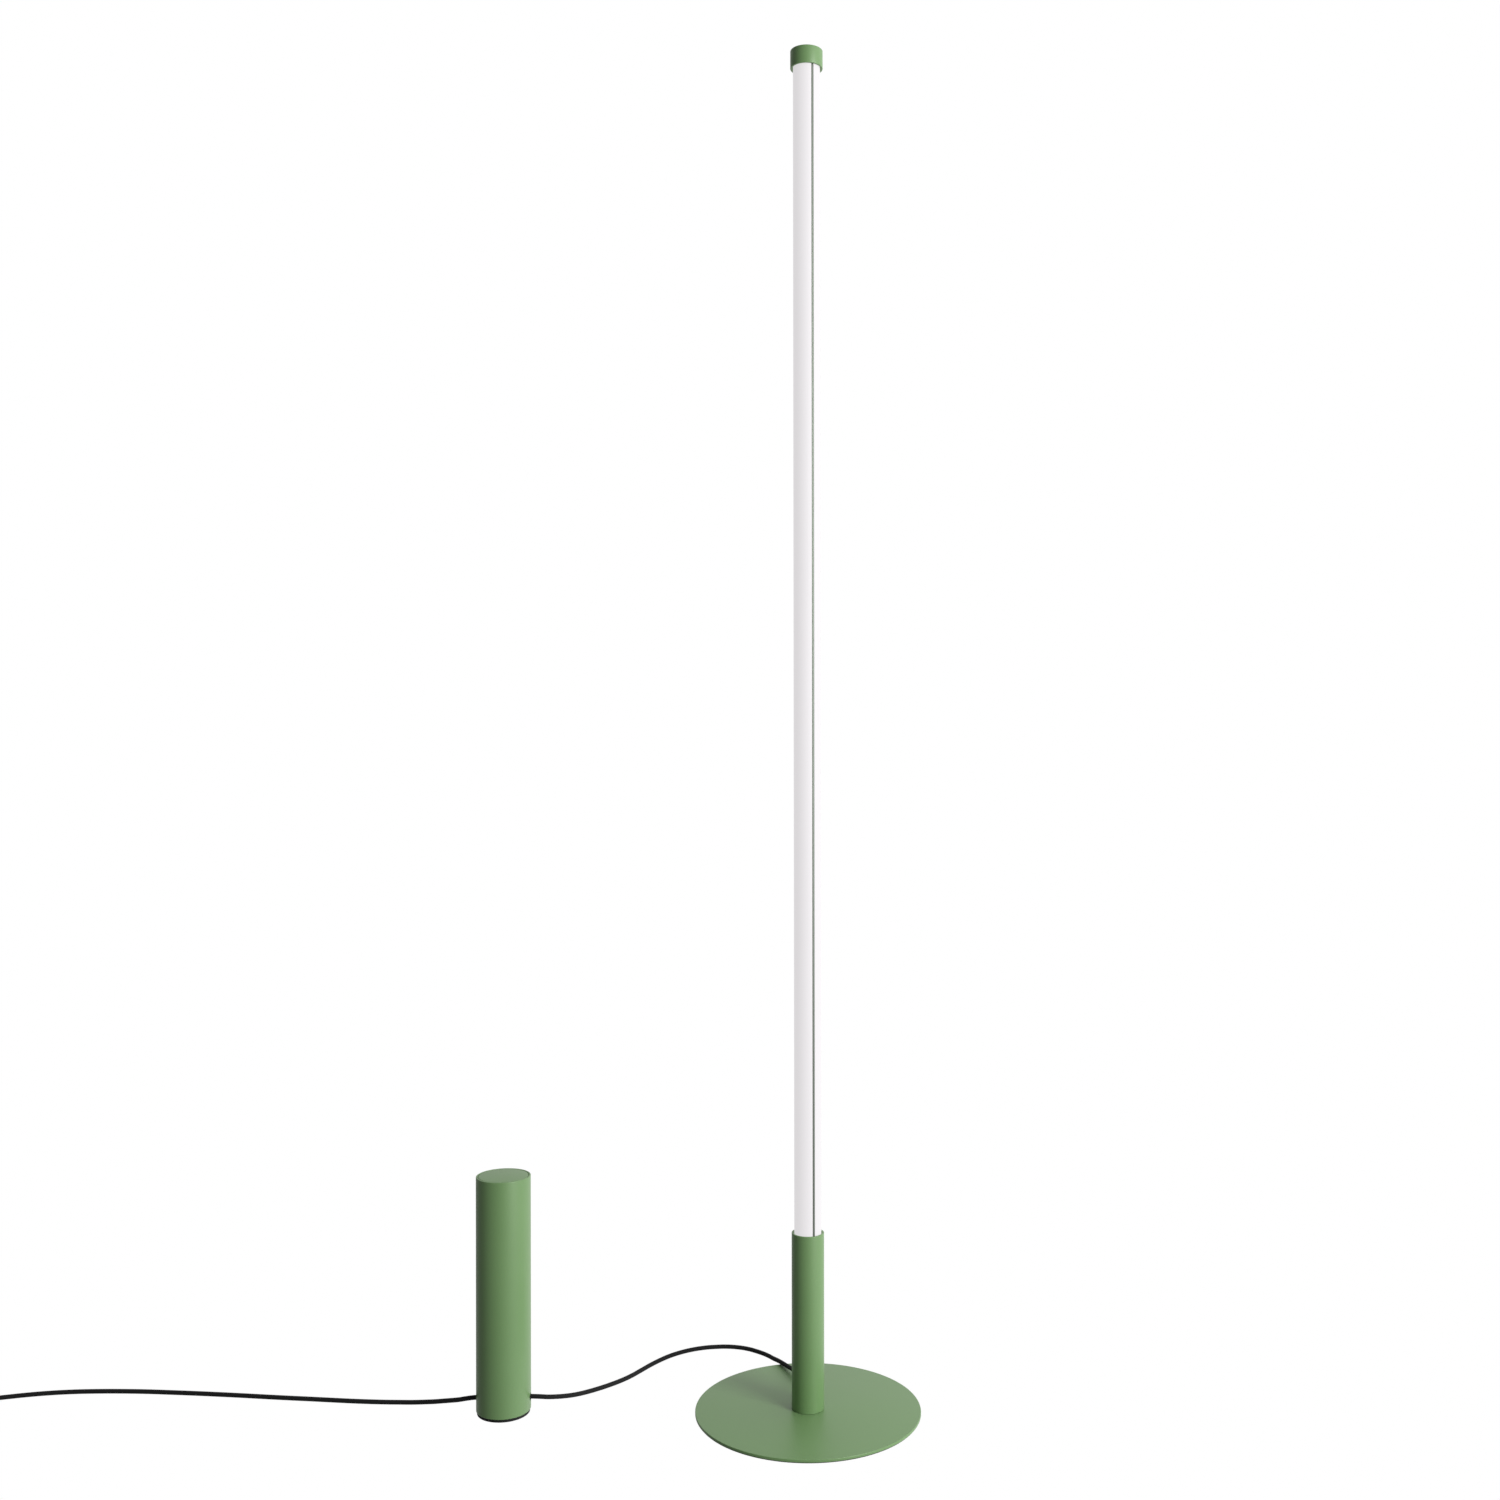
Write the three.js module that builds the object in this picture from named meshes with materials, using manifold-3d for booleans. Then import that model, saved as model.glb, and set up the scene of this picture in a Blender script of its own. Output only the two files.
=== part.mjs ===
// A slim LED tube floor lamp with a separate driver column that stands on its cord.
// Millimetres, +Z up. The origin is on the floor under the lamp's axis, +X runs to the viewer's right and
// the front faces -Y. The driver column stands to the left of the lamp, in line with it.

import * as THREE from 'three';
import { mergeVertices } from 'three/addons/utils/BufferGeometryUtils.js';
import Module from 'manifold-3d';

// ---- Driving dimensions ----
const GAP = 0.3; // between two pieces that touch

const BASE_RADIUS = 125;
const PLATE_THICKNESS = 2.9;
const PAD_THICKNESS = 0.8;
const PAD_INSET = 1;
const PLATE_BOTTOM = PAD_THICKNESS + GAP;
const PLATE_TOP = PLATE_BOTTOM + PLATE_THICKNESS;

const POST_RADIUS = 18;
const WALL = 2; // of the post, the cap and the driver column
const POST_BORE = POST_RADIUS - WALL;
const POST_BOTTOM = PLATE_TOP + GAP;
const POST_TOP = 199;
const FOOT_PLUG_TOP = 16;
const BASE_SCREWS = 3;
const BASE_SCREW_CIRCLE = 9; // radius of the circle that the screws stand on
const BASE_SCREW_TOP = 14;

const TUBE_RADIUS = 15; // of the light tube
const SHELL_THICKNESS = 1.5;
const SOCKET_DEPTH = 5; // how far the shells reach into the post, and into the cap
const SHELL_BOTTOM = POST_TOP - SOCKET_DEPTH;
const CAP_BOTTOM = 1489.5;
const CAP_TOP = 1509;
const CAP_CEILING = 2.5;
const SHELL_TOP = CAP_BOTTOM + SOCKET_DEPTH;
const SPINE_TURN = THREE.MathUtils.degToRad(26.5 - 90); // direction of the spine's front edge
const WEB = 2.2; // thickness of the spine
const PORT_OFFSET = 10.6; // of the spine's screw ports from the axis
const PORT_RADIUS = 2.4;
const PORT_BORE = 1.35;
const SPIGOT_RADIUS = 8; // of the bottom holder, where it turns in the collar
const SPIGOT_BOTTOM = 158.7;
const FLANGE_BOTTOM = 188.3;
const COLLAR_TOP = 188;
const COLLAR_BOTTOM = 146;
const SOCKET_BOTTOM = COLLAR_BOTTOM - 5; // of the contact socket under the collar
const SOCKET_TOP = 158;
const PIN_BOTTOM = 147.5; // of the contact pin that stands in it
const RING_HEIGHT = 170; // middle of the friction ring
const RING_HALF = 2;
const GROOVE_DEPTH = 2;
const HOLDER_TOP = CAP_TOP - 5;
const CAP_RING_HEIGHT = HOLDER_TOP - 4.1;
const CAP_RING_REACH = 14.75; // middle of the ring's section, from the axis
const CAP_RING_SECTION = 1.1; // radius of its section
const TUBE_SCREW = { shank: 1.05, head: 2, length: 17.6 };

const LED_PITCH = 40;
const LED_BOARD_WIDTH = 12;
const LED_BOARD_BOTTOM = SHELL_BOTTOM + 8;
const LED_BOARD_TOP = SHELL_TOP - 8.5;

const COLUMN_X = -338;
const COLUMN_Y = 1;
const COLUMN_RADIUS = 30;
const COLUMN_BORE = COLUMN_RADIUS - WALL;
const COLUMN_TOP = 262;
const FOOT_RADIUS = 29;
const FOOT_THICKNESS = 3;
const FOOT_SPIGOT_TOP = 9;
const FOOT_SCREWS = 3;
const FOOT_SCREW_CIRCLE = 20;
const BRIDGE_BOTTOM = 26; // of the chassis
const BRIDGE_THICKNESS = 3;
const CHASSIS_TOP = 231;
const BUTTON_RADIUS = 27.5;
const BUTTON_THICKNESS = 4;
const GUIDE_FLOOR = 236;
const GUIDE_TOP = 256;
const GUIDE_BORE = 26;
const SWITCH_TOP = 246;
const SKIRT_BOTTOM = 244; // of the button's skirt, which slides in the guide

const CORD_RADIUS = 2.5;
const CORD_HOLE = CORD_RADIUS + GAP;
const CORE_RADIUS = 1.7; // of the wires inside the post and the column
const BUSHING_RADIUS = 3.9;
const BUSHING_FLANGE = 5.5;
const WALL_HOLE = BUSHING_RADIUS + GAP;
const POST_EXIT = 25; // height of the cord at the back of the post
const LAMP_SIDE_EXIT = 16.8; // height of the cord at the column, on the lamp's side
const MAINS_SIDE_EXIT = 15.7;

const COIL_CENTRE = [-945.4, -8];
const COIL_RADIUS = 29.5; // to the middle of the cord in the outer turns
const COIL_PITCH = 5.15; // from turn to turn, and from layer to layer
const COIL_LAYERS = 4;
const PLUG_X = -988.5;
const PLUG_THICKNESS = 13.6;
const PLUG_Z = PLUG_THICKNESS / 2;
const RELIEF_BACK = -50;
const PLUG_BACK = -70;
const PLUG_FRONT = -102;

// ---- Materials ----
const material = (color, roughness, metalness = 0) =>
  new THREE.MeshStandardMaterial({ color, roughness, metalness });

const greenPaint = material(0x7d9b78, 0.55);
const blackRubber = material(0x1b1b1b, 0.75);
const blackPlastic = material(0x202020, 0.55);
const cordSheath = material(0x161616, 0.5);
const opal = material(0xf6f6f3, 0.45);
const anodised = material(0x99a099, 0.4, 0.9);
const steel = material(0x8f9194, 0.35, 1);
const brass = material(0xb99653, 0.3, 1);
const board = material(0x2c5a3a, 0.6);
const whiteBoard = material(0xe9e9e4, 0.5);
const ferrite = material(0x3a3330, 0.8);

// ---- Solids ----
const wasm = await Module();
wasm.setup();

function toManifold(geometry) {
  const bare = geometry.clone();
  bare.deleteAttribute('normal');
  bare.deleteAttribute('uv');
  const merged = mergeVertices(bare, 1e-4);
  const triangles = [];
  const index = merged.index.array;
  for (let i = 0; i < index.length; i += 3) {
    const [a, b, c] = [index[i], index[i + 1], index[i + 2]];
    if (a !== b && b !== c && c !== a) triangles.push(a, b, c);
  }
  return new wasm.Manifold(new wasm.Mesh({
    numProp: 3,
    vertProperties: new Float32Array(merged.attributes.position.array),
    triVerts: new Uint32Array(triangles),
  }));
}

function toGeometry(solid) {
  const mesh = solid.getMesh();
  const geometry = new THREE.BufferGeometry();
  geometry.setAttribute('position', new THREE.BufferAttribute(new Float32Array(mesh.vertProperties), 3));
  geometry.setIndex(new THREE.BufferAttribute(new Uint32Array(mesh.triVerts), 1));
  geometry.computeVertexNormals();
  return geometry;
}

function cut(geometry, ...tools) {
  let solid = toManifold(geometry);
  for (const tool of tools) solid = solid.subtract(toManifold(tool));
  return toGeometry(solid);
}

function join(geometry, ...others) {
  let solid = toManifold(geometry);
  for (const other of others) solid = solid.add(toManifold(other));
  return toGeometry(solid);
}

// A turned piece about Z. The profile is [radius, height] pairs that run anticlockwise, outside going up.
function turned(profile, segments = 24) {
  const points = profile.map(([r, z]) => new THREE.Vector2(r, z));
  return new THREE.LatheGeometry(points, segments).rotateX(Math.PI / 2);
}

// The eased top edge of a turned piece: where its side ends and where its top begins.
const eased = (radius, top, ease) => [[radius, top - ease], [radius - ease, top]];

function disc(radius, bottom, top, segments = 24) {
  return turned([[0, bottom], [radius, bottom], [radius, top], [0, top]], segments);
}

function ring(inner, outer, bottom, top, segments = 24) {
  return turned([[inner, bottom], [outer, bottom], [outer, top], [inner, top], [inner, bottom]], segments);
}

// The same pieces lying along +X or +Y instead of standing along +Z.
const alongX = (geometry) => geometry.rotateY(Math.PI / 2);
const alongY = (geometry) => geometry.rotateX(-Math.PI / 2);

function box(x0, x1, y0, y1, z0, z1) {
  return new THREE.BoxGeometry(x1 - x0, y1 - y0, z1 - z0)
    .translate((x0 + x1) / 2, (y0 + y1) / 2, (z0 + z1) / 2);
}

function cordTube(points, radius, step, sides) {
  const curve = new THREE.CatmullRomCurve3(points.map((p) => new THREE.Vector3(...p)), false, 'centripetal');
  const section = new THREE.Shape();
  section.absarc(0, 0, radius, 0, 2 * Math.PI);
  return new THREE.ExtrudeGeometry(section, {
    curveSegments: sides / 2, // an arc takes twice as many
    steps: Math.ceil(curve.getLength() / step),
    extrudePath: curve,
    bevelEnabled: false,
  });
}

// A bushing about +Z for a cord: its flange stands inside a wall, and its sleeve ends at the wall's outside.
function bushing(wallRadius) {
  const [back, flangeFront, front] = [wallRadius - 5.6, wallRadius - 3.3, wallRadius - 0.1];
  return turned([
    [CORD_HOLE, back], [BUSHING_FLANGE, back], [BUSHING_FLANGE, flangeFront],
    [BUSHING_RADIUS, flangeFront], [BUSHING_RADIUS, front], [CORD_HOLE, front], [CORD_HOLE, back],
  ], 16);
}

// A countersunk screw about Z with its head's flat face down, and the hole that it stands in.
function screw(shank, head, bottom, top) {
  const cone = head - shank;
  const recess = 0.55 * head;
  return turned([
    [0, bottom + cone], [recess / 2, bottom + cone], [recess, bottom], [head, bottom],
    [shank, bottom + cone], [shank, top], [0, top],
  ], 12);
}

function screwHole(shank, head, bottom, top) {
  const cone = head - shank;
  return turned([
    [0, bottom - 1], [head + GAP, bottom - 1], [head + GAP, bottom],
    [shank + GAP, bottom + cone], [shank + GAP, top], [0, top],
  ], 12);
}

const circle = (count, radius, start) => Array.from({ length: count }, (_, i) => {
  const angle = start + (i * 2 * Math.PI) / count;
  return [radius * Math.cos(angle), radius * Math.sin(angle)];
});

// ---- Assembly ----
const lamp = new THREE.Group();

function add(name, geometry, finish, group = lamp) {
  const mesh = new THREE.Mesh(geometry, finish);
  mesh.name = name;
  group.add(mesh);
  return mesh;
}

// ---- Base: a round steel plate on a thin pad, with the post screwed down from below ----
function addBase() {
  const spots = circle(BASE_SCREWS, BASE_SCREW_CIRCLE, Math.PI / 2);
  const [shank, head] = [2, 4];
  const headFace = PLATE_BOTTOM + 0.1;
  const holes = spots.map(([x, y]) => screwHole(shank, head, headFace, FOOT_PLUG_TOP).translate(x, y, 0));

  add('base_pad', disc(BASE_RADIUS - PAD_INSET, 0, PAD_THICKNESS, 64), blackRubber);
  const plate = turned([
    [0, PLATE_BOTTOM], [BASE_RADIUS, PLATE_BOTTOM], ...eased(BASE_RADIUS, PLATE_TOP, 0.5), [0, PLATE_TOP],
  ], 64);
  add('base_plate', cut(plate, ...holes), greenPaint);
  const plug = disc(POST_BORE - GAP, POST_BOTTOM, FOOT_PLUG_TOP);
  add('post_foot_plug', cut(plug, ...holes), anodised);
  spots.forEach(([x, y], i) => {
    add(`base_screw_${i + 1}`, screw(shank, head, headFace, BASE_SCREW_TOP).translate(x, y, 0), steel);
  });
}

// ---- Post: a painted tube, with the cord's bushing and clamp at its foot ----
function addPost() {
  const tube = ring(POST_BORE, POST_RADIUS, POST_BOTTOM, POST_TOP, 48);
  const hole = alongY(disc(WALL_HOLE, POST_BORE - 4, POST_RADIUS + 4, 20)).translate(0, 0, POST_EXIT);
  add('post_tube', cut(tube, hole), greenPaint);

  add('post_grommet', alongY(bushing(POST_RADIUS)), blackRubber).position.z = POST_EXIT;

  const clampBottom = FOOT_PLUG_TOP + GAP;
  const bore = alongY(disc(CORD_HOLE, -10, 15, 16)).translate(0, 0, POST_EXIT);
  add('cord_clamp', cut(box(-7, 7, -4, 9, clampBottom, 30), bore), blackPlastic);

  const lead = [
    [0, -1.3, POST_EXIT], [0, -5, 25.2], [0, -8.6, 27.2], [0, -10.4, 31.5], [0, -10.8, 40],
    [0, -10.8, 110], [0, -9, 122], [0, -4.5, 131], [0, -0.8, 136.5], [0, 0, SOCKET_BOTTOM - GAP],
  ];
  add('inner_lead', cordTube(lead, CORE_RADIUS, 6, 8), cordSheath);
}

// ---- Swivel: the collar that the light tube turns in, and the contact under it ----
function addSwivel() {
  const bore = SPIGOT_RADIUS + GAP;
  const outside = POST_BORE - GAP;
  const groove = SPIGOT_RADIUS + GROOVE_DEPTH;
  const [grooveBottom, grooveTop] = [RING_HEIGHT - RING_HALF - GAP, RING_HEIGHT + RING_HALF + GAP];
  const collar = turned([
    [bore, COLLAR_BOTTOM], [outside, COLLAR_BOTTOM], [outside, COLLAR_TOP], [bore, COLLAR_TOP],
    [bore, grooveTop], [groove, grooveTop], [groove, grooveBottom], [bore, grooveBottom],
    [bore, COLLAR_BOTTOM],
  ]);
  add('swivel_collar', collar, blackPlastic);
  const [ringBottom, ringTop] = [RING_HEIGHT - RING_HALF, RING_HEIGHT + RING_HALF];
  add('friction_ring', ring(SPIGOT_RADIUS + 0.15, groove - GAP, ringBottom, ringTop), blackRubber);

  const plate = COLLAR_BOTTOM - GAP;
  const [well, wellRadius, towerRadius] = [PIN_BOTTOM - 1, 2.9, 6];
  const socket = turned([
    [0, SOCKET_BOTTOM], [outside, SOCKET_BOTTOM], [outside, plate], [towerRadius, plate],
    [towerRadius, SOCKET_TOP], [wellRadius, SOCKET_TOP], [wellRadius, well], [0, well],
  ]);
  add('contact_socket', socket, blackPlastic);
}

// ---- Light tube: a flat spine with a half shell and an LED board on each side of it ----
const tube = new THREE.Group();
tube.rotation.z = SPINE_TURN; // its own +X is the spine's front edge
lamp.add(tube);

// The spine's section: a web that ends flush with the shells, with a round screw port near each end.
function spineSection() {
  const edge = TUBE_RADIUS - 0.06;
  const half = WEB / 2;
  const meet = Math.asin(half / PORT_RADIUS);
  const shape = new THREE.Shape();
  shape.moveTo(-edge, -half);
  shape.absarc(-PORT_OFFSET, 0, PORT_RADIUS, Math.PI + meet, 2 * Math.PI - meet);
  shape.absarc(PORT_OFFSET, 0, PORT_RADIUS, Math.PI + meet, 2 * Math.PI - meet);
  shape.lineTo(edge, -half);
  shape.lineTo(edge, half);
  shape.absarc(PORT_OFFSET, 0, PORT_RADIUS, meet, Math.PI - meet);
  shape.absarc(-PORT_OFFSET, 0, PORT_RADIUS, meet, Math.PI - meet);
  shape.lineTo(-edge, half);
  for (const x of [-PORT_OFFSET, PORT_OFFSET]) {
    const port = new THREE.Path();
    port.absarc(x, 0, PORT_BORE, 0, 2 * Math.PI, true);
    shape.holes.push(port);
  }
  return shape;
}

// A half shell's section: a half ring that stops beside the web.
function shellSection() {
  const inner = TUBE_RADIUS - SHELL_THICKNESS;
  const side = WEB / 2 + GAP;
  const [a, b] = [Math.asin(side / TUBE_RADIUS), Math.asin(side / inner)];
  const shape = new THREE.Shape();
  shape.absarc(0, 0, TUBE_RADIUS, a, Math.PI - a);
  shape.absarc(0, 0, inner, Math.PI - b, b, true);
  return shape;
}

function upright(shape, bottom, top, curveSegments) {
  return new THREE.ExtrudeGeometry(shape, { depth: top - bottom, bevelEnabled: false, curveSegments })
    .translate(0, 0, bottom);
}

// A strip of circuit board against the web, with a row of LED packages on it.
function ledStrip() {
  const back = WEB / 2 + GAP;
  const front = back + 1;
  const half = LED_BOARD_WIDTH / 2;
  const chips = [];
  for (let z = LED_BOARD_BOTTOM + LED_PITCH / 2; z < LED_BOARD_TOP - 4; z += LED_PITCH) {
    chips.push(box(-1.4, 1.4, front - 0.2, front + 0.8, z - 1.75, z + 1.75));
  }
  return join(box(-half, half, back, front, LED_BOARD_BOTTOM, LED_BOARD_TOP), ...chips);
}

function addLightTube() {
  add('light_spine', upright(spineSection(), SHELL_BOTTOM, SHELL_TOP, 4), anodised, tube);
  for (const [side, turn] of [['right', 0], ['left', Math.PI]]) {
    const shell = upright(shellSection(), SHELL_BOTTOM, SHELL_TOP, 12);
    add(`diffuser_${side}`, shell, opal, tube).rotation.z = turn;
    add(`led_strip_${side}`, ledStrip(), whiteBoard, tube).rotation.z = turn;
  }

  const { shank, head, length } = TUBE_SCREW;
  const ports = [-PORT_OFFSET, PORT_OFFSET];
  const rim = TUBE_RADIUS - 0.1;
  const lowFace = FLANGE_BOTTOM + 0.1;
  const lowHoles = ports.map((x) => screwHole(shank, head, lowFace, lowFace + length).translate(x, 0, 0));
  const flange = SHELL_BOTTOM - GAP;
  const [wireBore, plugBore, plugTop] = [3, 5.3, 164];
  const lower = turned([
    [wireBore, plugTop + GAP], [plugBore, plugTop + GAP], [plugBore, SPIGOT_BOTTOM],
    [SPIGOT_RADIUS, SPIGOT_BOTTOM], [SPIGOT_RADIUS, FLANGE_BOTTOM], [rim, FLANGE_BOTTOM], [rim, flange],
    [wireBore, flange], [wireBore, plugTop + GAP],
  ]);
  add('lower_holder', cut(lower, ...lowHoles), blackPlastic, tube);
  const [pin, barrel] = [2.6, plugBore - GAP];
  const plug = turned([
    [0, PIN_BOTTOM], [pin, PIN_BOTTOM], [pin, SPIGOT_BOTTOM], [barrel, SPIGOT_BOTTOM], [barrel, plugTop],
    [0, plugTop],
  ]);
  add('tube_plug', plug, brass, tube);

  const topFace = HOLDER_TOP - 0.1;
  const flip = (geometry) => geometry.rotateX(Math.PI).translate(0, 0, topFace);
  const topHoles = ports.map((x) => flip(screwHole(shank, head, 0, length)).translate(x, 0, 0));
  const land = POST_BORE - GAP;
  const grooveRadius = CAP_RING_REACH - CAP_RING_SECTION - 0.35;
  const [grooveBottom, grooveTop] = [CAP_RING_HEIGHT - 1.6, CAP_RING_HEIGHT + 1.6];
  const step = SHELL_TOP + 2;
  const upper = turned([
    [0, SHELL_TOP + GAP], [rim, SHELL_TOP + GAP], [rim, step], [land, step], [land, grooveBottom],
    [grooveRadius, grooveBottom], [grooveRadius, grooveTop], [land, grooveTop], [land, HOLDER_TOP],
    [0, HOLDER_TOP],
  ]);
  add('upper_holder', cut(upper, ...topHoles), blackPlastic, tube);
  ports.forEach((x, i) => {
    const lowScrew = screw(shank, head, lowFace, lowFace + length);
    add(`lower_screw_${i + 1}`, lowScrew.translate(x, 0, 0), steel, tube);
    const topScrew = flip(screw(shank, head, 0, length + 4));
    add(`upper_screw_${i + 1}`, topScrew.translate(x, 0, 0), steel, tube);
  });

  const roll = circle(6, CAP_RING_SECTION, 0).map(([x, z]) => [CAP_RING_REACH + x, CAP_RING_HEIGHT + z]);
  add('cap_ring', turned([...roll, roll[0]]), blackRubber, tube);
  const cap = turned([
    [0, CAP_TOP - CAP_CEILING], [POST_BORE, CAP_TOP - CAP_CEILING], [POST_BORE, CAP_BOTTOM],
    [POST_RADIUS, CAP_BOTTOM], ...eased(POST_RADIUS, CAP_TOP, 0.5), [0, CAP_TOP],
  ], 48);
  add('top_cap', cap, greenPaint, tube);
}

// ---- Driver column: a painted tube on a black foot, with the dimmer button as its top ----
const column = new THREE.Group();
column.position.set(COLUMN_X, COLUMN_Y, 0);
lamp.add(column);

const COLUMN_EXITS = [
  { name: 'dc', side: 1, height: LAMP_SIDE_EXIT },
  { name: 'mains', side: -1, height: MAINS_SIDE_EXIT },
];

function addHousing() {
  const tubeWall = turned([
    [COLUMN_BORE, FOOT_THICKNESS + GAP], [COLUMN_RADIUS, FOOT_THICKNESS + GAP],
    ...eased(COLUMN_RADIUS, COLUMN_TOP, 0.6), [COLUMN_BORE, COLUMN_TOP],
    [COLUMN_BORE, FOOT_THICKNESS + GAP],
  ], 56);
  const holes = COLUMN_EXITS.map(({ side, height }) => (
    alongX(disc(WALL_HOLE, 20, 40, 20)).rotateZ(side > 0 ? 0 : Math.PI).translate(0, 0, height)));
  add('column_tube', cut(tubeWall, ...holes), greenPaint, column);

  const spots = circle(FOOT_SCREWS, FOOT_SCREW_CIRCLE, Math.PI / 2);
  const [shank, head] = [1.5, 3];
  const headFace = 0.5;
  const screwHoles = (top) => spots.map(([x, y]) => screwHole(shank, head, headFace, top).translate(x, y, 0));
  const foot = turned([
    [0, 0], [FOOT_RADIUS - 0.4, 0], [FOOT_RADIUS, 0.4], [FOOT_RADIUS, FOOT_THICKNESS],
    [COLUMN_BORE - GAP, FOOT_THICKNESS], [COLUMN_BORE - GAP, FOOT_SPIGOT_TOP], [0, FOOT_SPIGOT_TOP],
  ], 36);
  const bosses = spots.map(([x, y]) => disc(4, 5, BRIDGE_BOTTOM - GAP, 12).translate(x, y, 0));
  add('column_foot', cut(join(foot, ...bosses), ...screwHoles(40)), blackPlastic, column);
  spots.forEach(([x, y], i) => {
    const top = BRIDGE_BOTTOM + BRIDGE_THICKNESS + 2;
    add(`foot_screw_${i + 1}`, screw(shank, head, headFace, top).translate(x, y, 0), steel, column);
  });

  for (const { name, side, height } of COLUMN_EXITS) {
    const turn = side > 0 ? 0 : Math.PI;
    const lining = alongX(bushing(COLUMN_RADIUS)).rotateZ(turn).translate(0, 0, height);
    add(`${name}_grommet`, lining, blackRubber, column);
    const bore = alongX(disc(CORD_HOLE, 10, 26, 16)).translate(0, 0, height);
    const clamp = cut(box(13.5, 22, -6, 6, FOOT_SPIGOT_TOP + GAP, height + 5), bore);
    add(`${name}_clamp`, clamp.rotateZ(turn), blackPlastic, column);
  }
  addChassis(spots, screwHoles);
}

// The chassis carries the driver's board upright, between a bottom bridge and a top one.
function addChassis(spots, screwHoles) {
  const bridgeTop = BRIDGE_BOTTOM + BRIDGE_THICKNESS;
  const wireHoles = [-9, 9].map((x) => disc(3, 20, 35, 12).translate(x, 0, 0));
  const bridge = disc(COLUMN_BORE - 0.6, BRIDGE_BOTTOM, bridgeTop);
  const bottomBridge = cut(bridge, ...wireHoles, ...screwHoles(40));
  const topBridge = disc(26, CHASSIS_TOP - BRIDGE_THICKNESS, CHASSIS_TOP);
  const plate = box(-20, 20, -14, -12, bridgeTop - 1, CHASSIS_TOP - BRIDGE_THICKNESS + 1);
  const studs = [-17, 17].flatMap((x) => (
    [48, 198].map((z) => box(x - 2, x + 2, -13, -9 - GAP, z - 2, z + 2))));
  add('chassis', join(bottomBridge, topBridge, plate, ...studs), anodised, column);
}

function addDriver() {
  add('driver_board', box(-20, 20, -9, -7.4, 40, 206), board, column);
  const front = -7.4 + GAP;
  add('transformer', box(-12, 12, front, front + 22, 104, 132), ferrite, column);
  add('capacitor', alongY(disc(8, front, front + 22, 24)).translate(4, 0, 84), blackPlastic, column);
  const choke = ring(4, 9, front, front + 8, 24);
  add('choke', alongY(choke).translate(0, 0, 160), ferrite, column);
  for (const { name, side } of COLUMN_EXITS) {
    add(`${name}_terminal`, box(side * 9 - 6, side * 9 + 6, front, front + 12, 46, 60), blackPlastic, column);
  }
  for (const { name, side, height } of COLUMN_EXITS) {
    const wires = [
      [side * 17.2, 0, height], [side * 14, 0, height + 0.2], [side * 10.4, 0, height + 2.2],
      [side * 9, 0, height + 6.5], [side * 9, 0, 36], [side * 9, 0, 45.7],
    ];
    add(`${name}_wires`, cordTube(wires, CORE_RADIUS, 4, 8), cordSheath, column);
  }
}

// The dimmer: a sprung disc, flush with the rim, that pushes a switch on its own small board.
function addDimmer() {
  add('dimmer_board', disc(24, CHASSIS_TOP + GAP, CHASSIS_TOP + 1.9), board, column);
  const switchBottom = CHASSIS_TOP + 2.2;
  const plunger = disc(3, switchBottom + 1, SWITCH_TOP, 12);
  add('tact_switch', join(box(-5, 5, -5, 5, switchBottom, 237.5), plunger), blackPlastic, column);

  const [switchWindow, outside, floorTop] = [7.8, COLUMN_BORE - GAP, GUIDE_FLOOR + 2];
  const guide = turned([
    [switchWindow, GUIDE_FLOOR], [outside, GUIDE_FLOOR], [outside, GUIDE_TOP], [GUIDE_BORE, GUIDE_TOP],
    [GUIDE_BORE, floorTop], [switchWindow, floorTop], [switchWindow, GUIDE_FLOOR],
  ]);
  add('button_guide', guide, blackPlastic, column);

  const under = COLUMN_TOP - BUTTON_THICKNESS;
  const [stud, studEnd, skirtInner, skirtOuter] = [3, SWITCH_TOP + 2.3, 24.2, GUIDE_BORE - GAP];
  const button = turned([
    [0, studEnd], [stud, studEnd], [stud, under], [skirtInner, under], [skirtInner, SKIRT_BOTTOM],
    [skirtOuter, SKIRT_BOTTOM], [skirtOuter, under], [BUTTON_RADIUS, under],
    ...eased(BUTTON_RADIUS, COLUMN_TOP, 0.4), [0, COLUMN_TOP],
  ], 48);
  add('dimmer_button', button, greenPaint, column);

  const [turns, steps, radius, wire] = [4, 10, 10, 0.6];
  const low = floorTop + GAP + wire;
  const high = under - GAP - wire;
  const helix = Array.from({ length: turns * steps + 1 }, (_, i) => {
    const angle = (i * 2 * Math.PI) / steps;
    return [radius * Math.cos(angle), radius * Math.sin(angle), low + ((high - low) * i) / (turns * steps)];
  });
  const length = Math.hypot(turns * 2 * Math.PI * radius, high - low);
  add('button_spring', cordTube(helix, wire, length / (turns * steps), 6), steel, column);
}

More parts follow.
